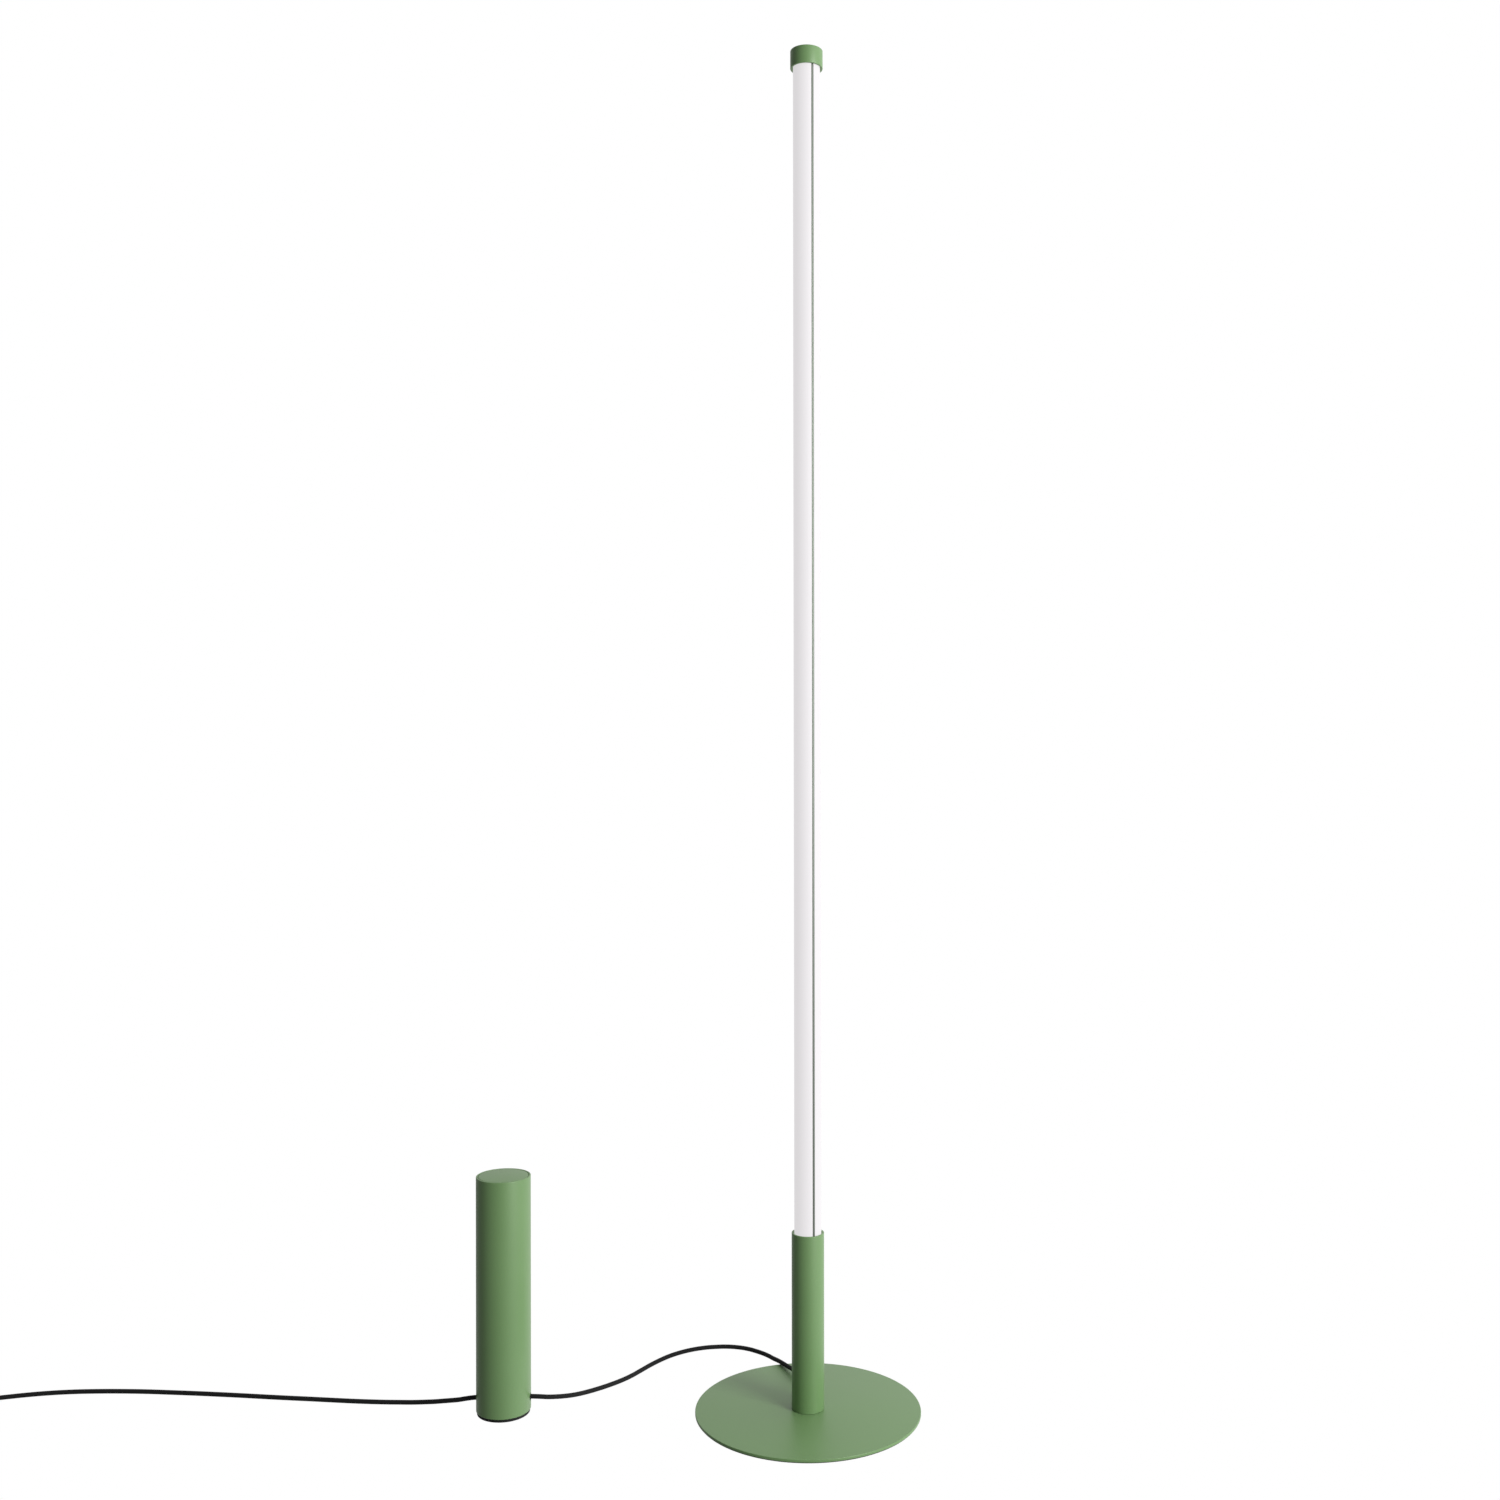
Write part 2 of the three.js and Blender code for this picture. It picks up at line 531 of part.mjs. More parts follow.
// ---- Cords: the lead from post to column, and the mains lead with its coil and plug ----
function addCords() {
  const lampLead = [
    [0, -1, 25], [0, 12, 25], [0, 24, 25], [-1, 35, 23.8], [-4, 49, 20.6], [-8, 63.5, 16.4],
    [-13, 78.5, 12.4], [-18, 92.4, 9.7], [-24, 105.3, 8], [-31, 118.8, 6.9], [-35.5, 126.5, 6.2],
    [-41, 136.5, 4.7], [-47, 147.6, 3.4], [-54, 157, 2.6], [-62, 164, 2.5], [-73, 171.5, 2.5],
    [-86, 176.5, 2.5], [-99, 178.5, 2.5], [-112, 177.8, 2.5], [-126, 175, 2.5], [-142, 168.3, 2.5],
    [-154, 160.5, 2.5], [-165.5, 150.5, 2.5], [-176.5, 137.5, 2.5], [-187, 122.5, 2.5], [-197, 106, 2.5],
    [-207, 90, 2.5], [-217, 76, 3], [-227, 63.5, 3.8], [-237, 51.2, 5], [-247, 38.8, 6.7],
    [-256.5, 27.6, 8.6], [-264, 19.3, 10.4], [-272, 12.6, 12.1], [-280.5, 7.2, 13.7], [-289, 3.5, 15],
    [-298, 1.7, 16.2], [-308, 1, 16.8], [-320.5, 1, 16.8],
  ];
  add('dc_lead', cordTube(lampLead, CORD_RADIUS, 14, 8), cordSheath);

  const mainsLead = [
    [-355.5, 1, 15.7], [-368, 1, 15.7], [-378, 0.8, 14.7], [-388, 1.9, 12.7], [-397.5, 4.3, 10.9],
    [-407.5, 7.1, 9], [-417, 9.8, 7.2], [-426.5, 12.8, 5.6], [-436, 15.4, 4.2], [-446, 17.2, 3.3],
    [-459.4, 18.9, 2.7], [-473, 19.7, 2.5], [-501, 21.5, 2.5], [-528, 24.3, 2.5], [-556, 27.6, 2.5],
    [-585, 30.8, 2.5], [-613, 34.1, 2.5], [-641, 37.6, 2.5], [-670, 40.9, 2.5], [-698, 43.8, 2.5],
    [-727, 46.4, 2.5], [-755, 48.6, 2.5], [-783, 49.7, 2.5], [-810, 49.7, 2.5], [-837, 48.4, 2.5],
    [-863, 45.2, 2.5], [-888, 39.9, 2.5], [-911, 33.4, 2.5], [-936, 25.7, 2.5],
  ];
  add('mains_lead', cordTube(mainsLead, CORD_RADIUS, 14, 8), cordSheath);

  const slack = 0.2;
  const outer = COIL_RADIUS + CORD_RADIUS + slack;
  const inner = COIL_RADIUS - COIL_PITCH - CORD_RADIUS - slack;
  const height = (COIL_LAYERS - 1) * COIL_PITCH + 2 * CORD_RADIUS + slack;
  add('cord_coil', ring(inner, outer, 0, height, 36), cordSheath).position.set(...COIL_CENTRE, 0);

  const tail = [
    [-981, -7, 16], [-985.5, -18.5, 12], [-988, -31, 8.6], [PLUG_X, -42, 7], [PLUG_X, RELIEF_BACK, PLUG_Z],
  ];
  add('mains_tail', cordTube(tail, CORD_RADIUS, 10, 8), cordSheath);
}

// A flat two-pin plug lying on the floor, its pins pointing to the front.
function addPlug() {
  const reliefLength = RELIEF_BACK - PLUG_BACK - 2 * GAP;
  const relief = new THREE.CylinderGeometry(3.2, 4.8, reliefLength, 20)
    .translate(PLUG_X, (RELIEF_BACK + PLUG_BACK) / 2, PLUG_Z);
  add('plug_relief', relief, cordSheath);

  const outline = new THREE.Shape();
  outline.moveTo(-7, 0);
  outline.quadraticCurveTo(-9, 0, -10, -3);
  outline.lineTo(-16, -22);
  outline.quadraticCurveTo(-17, -26, -17, -30);
  outline.quadraticCurveTo(-17, -32, -15, -32);
  outline.lineTo(15, -32);
  outline.quadraticCurveTo(17, -32, 17, -30);
  outline.quadraticCurveTo(17, -26, 16, -22);
  outline.lineTo(10, -3);
  outline.quadraticCurveTo(9, 0, 7, 0);
  const body = new THREE.ExtrudeGeometry(outline, {
    depth: PLUG_THICKNESS - 2,
    bevelSize: 1,
    bevelThickness: 1,
    bevelOffset: -1,
    bevelSegments: 1,
    curveSegments: 3,
  });
  add('plug_body', body.translate(PLUG_X, PLUG_BACK, 1), blackPlastic);

  [-9.5, 9.5].forEach((x, i) => {
    const pin = turned([[0, 0], [2, 0], [2, 18], [1.2, 19], [0, 19]], 16).rotateX(Math.PI / 2);
    add(`plug_pin_${i + 1}`, pin.translate(PLUG_X + x, PLUG_FRONT - GAP, PLUG_Z), steel);
  });
}

addBase();
addPost();
addSwivel();
addLightTube();
addHousing();
addDriver();
addDimmer();
addCords();
addPlug();

export default lamp;
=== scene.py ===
import math

import bmesh
import bpy
from mathutils import Matrix, Vector


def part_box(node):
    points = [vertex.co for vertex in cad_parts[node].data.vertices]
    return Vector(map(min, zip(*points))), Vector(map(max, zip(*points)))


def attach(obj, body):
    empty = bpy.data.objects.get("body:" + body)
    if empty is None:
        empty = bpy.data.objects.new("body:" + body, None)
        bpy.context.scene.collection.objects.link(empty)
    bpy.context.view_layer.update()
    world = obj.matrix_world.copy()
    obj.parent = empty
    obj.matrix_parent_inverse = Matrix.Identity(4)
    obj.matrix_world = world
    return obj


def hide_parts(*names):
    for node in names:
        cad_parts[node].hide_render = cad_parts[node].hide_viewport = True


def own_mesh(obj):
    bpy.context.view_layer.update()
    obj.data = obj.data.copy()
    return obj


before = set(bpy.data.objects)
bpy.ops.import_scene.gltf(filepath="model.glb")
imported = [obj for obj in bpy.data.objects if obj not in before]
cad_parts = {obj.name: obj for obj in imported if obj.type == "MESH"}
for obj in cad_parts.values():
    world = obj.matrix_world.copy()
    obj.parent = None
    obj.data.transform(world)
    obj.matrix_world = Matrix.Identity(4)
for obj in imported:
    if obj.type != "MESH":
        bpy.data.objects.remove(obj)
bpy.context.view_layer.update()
mm = 0.001


# ---- Camera ----
# A camera on a stand, level, 1.7 m in front of the lamp and at half its height. The stand leans a hair to
# one side, and the lens is slid a little sideways to take in the driver column.
lens = bpy.data.cameras.new("camera")
lens.sensor_width = 36
lens.lens = 36.765
lens.shift_x = -0.0336
camera = bpy.data.objects.new("camera", lens)
camera.location = (-0.0076, -1.7, 0.734)
camera.rotation_euler = (math.radians(90), math.radians(0.07), 0)
bpy.context.scene.collection.objects.link(camera)
bpy.context.scene.camera = camera


# ---- Lamp lead ----
# The low-voltage lead from the back of the post to the driver column: two stranded cores in one round jacket
# of black PVC. The jacket is extruded, so it is smooth along its length, and it is matt.
def linear(colour):
    """An sRGB hex colour as the linear colour that a shader takes."""
    channels = [int(colour[i:i + 2], 16) / 255 for i in (1, 3, 5)]
    return (*[c / 12.92 if c <= 0.04045 else ((c + 0.055) / 1.055) ** 2.4 for c in channels], 1)


def node(material, kind, inputs, **settings):
    """Adds a node to a material. Each input is a value, or an output of another node to link to it."""
    tree = material.node_tree
    made = tree.nodes.new(kind)
    for name, value in settings.items():
        setattr(made, name, value)
    for name, value in inputs.items():
        if isinstance(value, bpy.types.NodeSocket):
            tree.links.new(value, made.inputs[name])
        else:
            made.inputs[name].default_value = value
    return made


def blank(name):
    """A material with no nodes yet, and the output that gives each point's place on its piece in metres."""
    material = bpy.data.materials.new(name)
    material.use_nodes = True
    material.node_tree.nodes.clear()
    return material, node(material, "ShaderNodeTexCoord", {}).outputs["Object"]


def surface(material, inputs):
    """Ends a material with a surface of these values and links."""
    shader = node(material, "ShaderNodeBsdfPrincipled", inputs)
    node(material, "ShaderNodeOutputMaterial", {"Surface": shader.outputs["BSDF"]})


def laid_cord(name, points, radius, material):
    """A round cord along a smooth line through the points."""
    curve = bpy.data.curves.new(name, "CURVE")
    curve.dimensions = "3D"
    curve.bevel_depth = radius
    curve.bevel_resolution = 6
    curve.use_fill_caps = True
    curve.resolution_u = 6
    spline = curve.splines.new("BEZIER")
    spline.bezier_points.add(len(points) - 1)
    for knot, point in zip(spline.bezier_points, points):
        knot.co = point
        knot.handle_left_type = knot.handle_right_type = "AUTO"
    curve.materials.append(material)
    piece = bpy.data.objects.new(name, curve)
    bpy.context.scene.collection.objects.link(piece)
    return piece


# Plasticised PVC: matt, with the faint skin that a hot die leaves. The real skin is about 0.2 mm fine and
# is drawn at 1.5 mm, so that it shows.
pvc, place = blank("black_pvc_extruded")
skin = node(pvc, "ShaderNodeTexNoise", {"Vector": place, "Scale": 1 / (1.5 * mm), "Detail": 3})
tone = node(pvc, "ShaderNodeMixRGB", {
    "Fac": skin.outputs["Fac"], "Color1": linear("#090A0A"), "Color2": linear("#111112")})
relief = node(pvc, "ShaderNodeBump", {
    "Height": skin.outputs["Fac"], "Strength": 0.35, "Distance": 0.06 * mm})
surface(pvc, {
    "Base Color": tone.outputs["Color"], "Roughness": 0.8, "IOR": 1.36, "Normal": relief.outputs["Normal"]})

cord_radius = 2.5 * mm
lamp_route = [
    (0, -0.001, 0.025), (0, 0.012, 0.025), (0, 0.024, 0.025), (-0.001, 0.035, 0.0238),
    (-0.004, 0.049, 0.0206), (-0.008, 0.0635, 0.0164), (-0.013, 0.0785, 0.0124), (-0.018, 0.0924, 0.0097),
    (-0.024, 0.1053, 0.008), (-0.031, 0.1188, 0.0069), (-0.0355, 0.1265, 0.0062), (-0.041, 0.1365, 0.0047),
    (-0.047, 0.1476, 0.0034), (-0.054, 0.157, 0.0026), (-0.062, 0.164, 0.0025), (-0.073, 0.1715, 0.0025),
    (-0.086, 0.1765, 0.0025), (-0.099, 0.1785, 0.0025), (-0.112, 0.1778, 0.0025), (-0.126, 0.175, 0.0025),
    (-0.142, 0.1683, 0.0025), (-0.154, 0.1605, 0.0025), (-0.1655, 0.1505, 0.0025), (-0.1765, 0.1375, 0.0025),
    (-0.187, 0.1225, 0.0025), (-0.197, 0.106, 0.0025), (-0.207, 0.09, 0.0025), (-0.217, 0.076, 0.003),
    (-0.227, 0.0635, 0.0038), (-0.237, 0.0512, 0.005), (-0.247, 0.0388, 0.0067), (-0.2565, 0.0276, 0.0086),
    (-0.264, 0.0193, 0.0104), (-0.272, 0.0126, 0.0121), (-0.2805, 0.0072, 0.0137), (-0.289, 0.0035, 0.015),
    (-0.298, 0.0017, 0.0162), (-0.308, 0.001, 0.0168), (-0.3205, 0.001, 0.0168),
]
lamp_lead = laid_cord("lamp_lead", lamp_route, cord_radius, pvc)
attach(lamp_lead, "lamp_base")
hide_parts("dc_lead")


# ---- Mains lead ----
# The same round PVC jacket over two mains cores. It runs off across the floor, and what isn't laid out is
# wound in a close coil of four layers, up to two turns in each, and ends in a moulded plug.
mains_route = [
    (-0.3555, 0.001, 0.0157), (-0.368, 0.001, 0.0157), (-0.378, 0.0008, 0.0147), (-0.388, 0.0019, 0.0127),
    (-0.3975, 0.0043, 0.0109), (-0.4075, 0.0071, 0.009), (-0.417, 0.0098, 0.0072),
    (-0.4265, 0.0128, 0.0056), (-0.436, 0.0154, 0.0042), (-0.446, 0.0172, 0.0033),
    (-0.4594, 0.0189, 0.0027), (-0.473, 0.0197, 0.0025), (-0.501, 0.0215, 0.0025),
    (-0.528, 0.0243, 0.0025), (-0.556, 0.0276, 0.0025), (-0.585, 0.0308, 0.0025), (-0.613, 0.0341, 0.0025),
    (-0.641, 0.0376, 0.0025), (-0.67, 0.0409, 0.0025), (-0.698, 0.0438, 0.0025), (-0.727, 0.0464, 0.0025),
    (-0.755, 0.0486, 0.0025), (-0.783, 0.0497, 0.0025), (-0.81, 0.0497, 0.0025), (-0.837, 0.0484, 0.0025),
    (-0.863, 0.0452, 0.0025), (-0.888, 0.0399, 0.0025), (-0.911, 0.0334, 0.0025), (-0.936, 0.0257, 0.0025),
]
tail_route = [
    (-0.981, -0.007, 0.016), (-0.9855, -0.0185, 0.012), (-0.988, -0.031, 0.0086), (-0.9885, -0.042, 0.007),
    (-0.9885, -0.05, 0.0068),
]
coil_centre = Vector((-0.9454, -0.008, cord_radius))
coil_outer = 29.5 * mm
coil_pitch = 5.15 * mm
start_degrees = 107
wound_degrees = 2188
step_degrees = 14
crossing_degrees = 92
crossing_count = 7


def eased(share):
    """0 to 1, slow at both ends."""
    return 0.5 - 0.5 * math.cos(math.pi * min(1, max(0, share)))


# A crossing starts every 268 degrees. The odd ones take the cord in to the inner turn or back out, and the
# even ones lift it to the next layer. Each takes 92 degrees, so that no bend is tighter than 20 mm.
coil_route = []
for wound in range(0, wound_degrees + 1, step_degrees):
    inward = 0
    lifted = 0
    for crossing in range(1, crossing_count + 1):
        done = eased((wound - crossing * (360 - crossing_degrees)) / crossing_degrees)
        if crossing % 4 == 1:
            inward += done
        elif crossing % 4 == 3:
            inward -= done
        else:
            lifted += done
    angle = math.radians(start_degrees + wound)
    radius = coil_outer - coil_pitch * inward
    coil_route.append(coil_centre + Vector((
        radius * math.cos(angle), radius * math.sin(angle), coil_pitch * lifted)))
mains_cord = laid_cord("mains_cord", mains_route + coil_route + tail_route, cord_radius, pvc)
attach(mains_cord, "lamp_base")
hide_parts("mains_lead", "cord_coil", "mains_tail")


# ---- Coil tie ----
# A flat PVC-covered wire tie, bent round all four layers of the coil at one place. Its two ends are twisted
# together and lie flat on top.
weld = 0.002 * mm
sharp_angle = math.radians(32)


def outline_piece(name, outlines, bottom, top, ease=0):
    """A piece of one section, drawn by its outlines, from bottom to top, with its end edges eased."""
    curve = bpy.data.curves.new(name, "CURVE")
    curve.dimensions = "2D"
    curve.fill_mode = "BOTH"
    curve.extrude = (top - bottom) / 2 - ease
    curve.bevel_depth = ease
    curve.offset = -ease
    curve.bevel_resolution = 3
    for outline in outlines:
        spline = curve.splines.new("POLY")
        spline.points.add(len(outline) - 1)
        spline.use_cyclic_u = True
        for knot, point in zip(spline.points, outline):
            knot.co = (point[0], point[1], 0, 1)
    drawn = bpy.data.objects.new(name + "_outline", curve)
    mesh = bpy.data.meshes.new_from_object(drawn)
    mesh.transform(Matrix.Translation((0, 0, (top + bottom) / 2)))
    bpy.data.objects.remove(drawn)
    return clean_piece(name, mesh)


def clean_piece(name, mesh):
    """An object of this mesh, welded, facing outward, smooth but for its real edges."""
    work = bmesh.new()
    work.from_mesh(mesh)
    bmesh.ops.remove_doubles(work, verts=work.verts, dist=weld)
    bmesh.ops.recalc_face_normals(work, faces=work.faces)
    for face in work.faces:
        face.smooth = True
    work.to_mesh(mesh)
    work.free()
    mesh.set_sharp_from_angle(angle=sharp_angle)
    mesh.name = name
    piece = bpy.data.objects.new(name, mesh)
    bpy.context.scene.collection.objects.link(piece)
    return piece


def move(piece, matrix):
    """Turns and shifts a piece's mesh into its place."""
    piece.data.transform(matrix)
    piece.data.update()


def rounded(corners, steps=5):
    """An outline with rounded corners. A corner is (across, up), or (across, up, radius)."""
    points = []
    for i, corner in enumerate(corners):
        here = Vector(corner[:2])
        if len(corner) == 2:
            points.append(here)
            continue
        back = (Vector(corners[i - 1][:2]) - here).normalized()
        on = (Vector(corners[(i + 1) % len(corners)][:2]) - here).normalized()
        half = back.angle(on) / 2
        centre = here + (back + on).normalized() * corner[2] / math.sin(half)
        reach = corner[2] / math.tan(half)
        start = (here + back * reach - centre).normalized()
        end = (here + on * reach - centre).normalized()
        points += [centre + corner[2] * start.slerp(end, k / steps) for k in range(steps + 1)]
    return points


# Soft moulded PVC: glossier than the lead's jacket, with a skin about 0.8 mm fine.
tie_pvc, place = blank("grey_pvc_moulded")
skin = node(tie_pvc, "ShaderNodeTexNoise", {"Vector": place, "Scale": 1 / (0.8 * mm), "Detail": 2})
relief = node(tie_pvc, "ShaderNodeBump", {
    "Height": skin.outputs["Fac"], "Strength": 0.3, "Distance": 0.05 * mm})
surface(tie_pvc, {
    "Base Color": linear("#2B2C2E"), "Roughness": 0.36, "IOR": 1.53, "Normal": relief.outputs["Normal"]})

tie_angle = math.radians(250)
tie_thickness = 0.5 * mm
tie_width = 4 * mm
layers_above = 3
bundle_half = coil_pitch / 2 + cord_radius
bundle_top = 2 * cord_radius + layers_above * coil_pitch
tie_top = bundle_top + tie_thickness


def tie_outline(half, bottom, top, low_bend, high_bend):
    """The tie's outer or inner outline, with its lower and its upper bends."""
    return rounded([
        (-half, bottom, low_bend), (half, bottom, low_bend),
        (half, top, high_bend), (-half, top, high_bend)])


tie_outer = tie_outline(bundle_half + tie_thickness, 0, tie_top, 2.6 * mm, 2.8 * mm)
tie_inner = tie_outline(bundle_half, tie_thickness, bundle_top, 2.2 * mm, 2.4 * mm)
coil_tie = outline_piece("coil_tie", [tie_outer, tie_inner], -tie_width / 2, tie_width / 2, ease=0.15 * mm)
stand_up = Matrix.Rotation(math.radians(90), 4, "X")
outward = Vector((math.cos(tie_angle), math.sin(tie_angle), 0))
bundle_middle = coil_centre + outward * (coil_outer - coil_pitch / 2)
bundle_middle.z = 0
move(coil_tie, Matrix.Translation(bundle_middle) @ Matrix.Rotation(tie_angle, 4, "Z") @ stand_up)
coil_tie.data.materials.append(tie_pvc)
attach(coil_tie, "lamp_base")

# The twisted ends make one rod with a wavy middle line, which sinks a little towards its tip.
twist_radius = 0.6 * mm
twist_turn = math.radians(48)
twist_step = 0.3 * mm
twist_sink = 0.01 * mm
twist = []
for step in range(41):
    turn = step * twist_turn
    height = tie_top + 0.9 * mm + twist_radius * math.sin(turn) - step * twist_sink
    twist.append(bundle_middle + Matrix.Rotation(tie_angle, 3, "Z") @ Vector((
        twist_radius * math.cos(turn), 2 * mm + step * twist_step, height)))
tie_ends = laid_cord("tie_ends", twist, 0.7 * mm, tie_pvc)
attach(tie_ends, "lamp_base")


# ---- Plug ----
# A flat two-pin mains plug, moulded over the lead's end in stiff black PVC. Its relief is ribbed so that it
# bends evenly, its body narrows towards the lead, and its pins are sleeved for the half next the body.
on_axis = 0.001 * mm


def turned(name, outline, segments=96, centre=(0, 0)):
    """A piece turned about a vertical axis, from (radius, height) points.

    An outline that starts off the axis is closed on itself and makes a ring.
    """
    work = bmesh.new()
    rings = []
    for radius, height in outline:
        count = segments if radius > on_axis else 1
        rings.append([
            work.verts.new((
                centre[0] + radius * math.cos(2 * math.pi * k / segments),
                centre[1] + radius * math.sin(2 * math.pi * k / segments), height))
            for k in range(count)])
    pairs = list(zip(rings, rings[1:]))
    if outline[0][0] > on_axis:
        pairs.append((rings[-1], rings[0]))
    for low, high in pairs:
        for k in range(segments):
            here = [low[k % len(low)], high[k % len(high)]]
            on = [low[(k + 1) % len(low)], high[(k + 1) % len(high)]]
            corners = list(dict.fromkeys([here[0], on[0], on[1], here[1]]))
            if len(corners) > 2:
                work.faces.new(corners)
    mesh = bpy.data.meshes.new(name)
    work.to_mesh(mesh)
    work.free()
    return clean_piece(name, mesh)


# Moulded PVC with a spark-eroded mould's fine grain, about 0.3 mm, drawn at 0.6 mm.
plug_pvc, place = blank("black_pvc_moulded")
grain = node(plug_pvc, "ShaderNodeTexNoise", {"Vector": place, "Scale": 1 / (0.6 * mm), "Detail": 2})
relief = node(plug_pvc, "ShaderNodeBump", {
    "Height": grain.outputs["Fac"], "Strength": 0.5, "Distance": 0.05 * mm})
tone = node(plug_pvc, "ShaderNodeMixRGB", {
    "Fac": grain.outputs["Fac"], "Color1": linear("#161718"), "Color2": linear("#222426")})
surface(plug_pvc, {
    "Base Color": tone.outputs["Color"], "Roughness": 0.5, "IOR": 1.54, "Normal": relief.outputs["Normal"]})

body_low, body_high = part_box("plug_body")
relief_low, relief_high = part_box("plug_relief")
plug_x = (body_low.x + body_high.x) / 2
plug_z = (body_low.z + body_high.z) / 2
lie_down = Matrix.Translation((plug_x, 0, plug_z)) @ stand_up

# The ribs grow wider towards the plug's body.
rib_count = 6
rib_pitch = (relief_high.y - relief_low.y) / rib_count
rib_radius = 3.2 * mm
rib_growth = 1.6 * mm
rib_edge = 0.25 * mm
rib_slope = 0.3 * mm
groove = 0.9 * mm
profile = [(0, -relief_high.y)]
for rib in range(rib_count):
    start = -relief_high.y + rib * rib_pitch
    end = start + rib_pitch - groove
    radius = rib_radius + rib_growth * (rib + 0.5) / rib_count
    profile += rounded([
        (radius - groove, start), (radius, start + rib_slope, rib_edge), (radius, end - rib_slope, rib_edge),
        (radius - groove, end)])
profile += [(4 * mm, -relief_low.y), (0, -relief_low.y)]
plug_relief = turned("plug_relief_ribs", profile, segments=48)
move(plug_relief, lie_down)

# The right side of the plug's body from its back to its front, in millimetres: half width, place along the
# plug, and how far that corner is rounded.
side = [(7, 0, 2), (10.2, -3, 3), (16, -21, 9), (17, -26, 6), (17, -32, 2.2)]
right_side = [(x * mm, y * mm, r * mm) for x, y, r in side]
plug_outline = rounded(right_side + [(-x, y, r) for x, y, r in reversed(right_side)], steps=7)
plug_body = outline_piece("plug_shell", [plug_outline], 0, body_high.z - body_low.z, ease=2.4 * mm)
move(plug_body, Matrix.Translation((plug_x, body_high.y, body_low.z)))
for piece, cad_name in [(plug_relief, "plug_relief"), (plug_body, "plug_body")]:
    piece.data.materials.append(plug_pvc)
    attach(piece, "lamp_base")
    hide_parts(cad_name)

# Nickel plate on turned and polished brass: bright, with light handling marks about 0.5 mm apart.
nickel, place = blank("nickel_plated_brass")
polish = node(nickel, "ShaderNodeTexNoise", {"Vector": place, "Scale": 1 / (0.5 * mm), "Detail": 3})
wear = node(nickel, "ShaderNodeMapRange", {"Value": polish.outputs["Fac"], "To Min": 0.14, "To Max": 0.3})
surface(nickel, {"Base Color": linear("#CFCBC2"), "Metallic": 1, "Roughness": wear.outputs["Result"]})

plug_pieces = [plug_relief, plug_body, coil_tie, tie_ends]
pin_radius = 1.95 * mm
sleeve_radius = 2 * mm
sleeve_length = 10 * mm
for number in (1, 2):
    low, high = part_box(f"plug_pin_{number}")
    along_pin = Matrix.Translation(((low.x + high.x) / 2, 0, plug_z)) @ stand_up
    root = -high.y
    sleeve_end = root + sleeve_length
    pin = turned(f"plug_pin_metal_{number}", rounded([
        (0, sleeve_end - mm), (pin_radius, sleeve_end - mm), (pin_radius, -low.y, 1.2 * mm), (0, -low.y),
    ]), segments=32)
    sleeve = turned(f"plug_pin_sleeve_{number}", rounded([
        (0, root), (sleeve_radius, root), (sleeve_radius, sleeve_end, 0.3 * mm),
        (sleeve_radius - 0.1 * mm, sleeve_end), (0, sleeve_end - 1.5 * mm)]), segments=32)
    pin.data.materials.append(nickel)
    sleeve.data.materials.append(plug_pvc)
    for piece in (pin, sleeve):
        move(piece, along_pin)
        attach(piece, "lamp_base")
    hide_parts(f"plug_pin_{number}")
    plug_pieces += [pin, sleeve]


# ---- Base pad ----
# A disc of black nitrile rubber, 0.8 mm thick, glued under the plate so that it grips and doesn't mark the
# floor. It is die-cut from moulded sheet with fine rings pressed into its underside.

# Nitrile rubber: dull, with a grain of about 0.9 mm and a cloudy grey bloom some 25 mm wide.
rubber, place = blank("black_nitrile_rubber")
sheet_grain = node(rubber, "ShaderNodeTexNoise", {"Vector": place, "Scale": 1 / (0.9 * mm), "Detail": 4})
bloom = node(rubber, "ShaderNodeTexNoise", {"Vector": place, "Scale": 1 / (25 * mm), "Detail": 2})
tone = node(rubber, "ShaderNodeMixRGB", {
    "Fac": bloom.outputs["Fac"], "Color1": linear("#151515"), "Color2": linear("#262625")})
relief = node(rubber, "ShaderNodeBump", {
    "Height": sheet_grain.outputs["Fac"], "Strength": 0.6, "Distance": 0.08 * mm})
surface(rubber, {
    "Base Color": tone.outputs["Color"], "Roughness": 0.78, "IOR": 1.52, "Normal": relief.outputs["Normal"]})

low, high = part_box("base_pad")
pad_radius = high.x
ring_pitch = 3 * mm
ring_depth = 0.25 * mm
pad_profile = [(0, 0)]
for ring in range(4, int(pad_radius / ring_pitch) - 1):
    edge = ring * ring_pitch
    pad_profile += [
        (edge - 0.9 * mm, 0), (edge - 0.7 * mm, ring_depth), (edge - 0.2 * mm, ring_depth), (edge, 0)]
pad_profile += rounded([
    (pad_radius - 4 * mm, 0), (pad_radius, 0, 0.2 * mm), (pad_radius, high.z), (0, high.z)])
base_pad = turned("grip_pad", pad_profile, segments=192)
base_pad.data.materials.append(rubber)
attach(base_pad, "lamp_base")
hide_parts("base_pad")


# ---- Base plate ----
# A disc cut from 3 mm mild steel, its edges broken, powder coated and stoved. It holds the lamp up by its
# weight. Three countersunk holes near the middle take the post's screws.
def combine(piece, others, operation="DIFFERENCE"):
    """Cuts the other pieces out of a piece, or joins them to it, and uses them up."""
    for other in others:
        step = piece.modifiers.new(other.name, "BOOLEAN")
        step.object = other
        step.operation = operation
    shaped = piece.evaluated_get(bpy.context.evaluated_depsgraph_get())
    mesh = bpy.data.meshes.new_from_object(shaped)
    piece.modifiers.clear()
    piece.data = mesh
    mesh.set_sharp_from_angle(angle=sharp_angle)
    for other in others:
        bpy.data.objects.remove(other)


def middle(name):
    """The plan centre of a CAD node."""
    low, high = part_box(name)
    return (low.x + high.x) / 2, (low.y + high.y) / 2


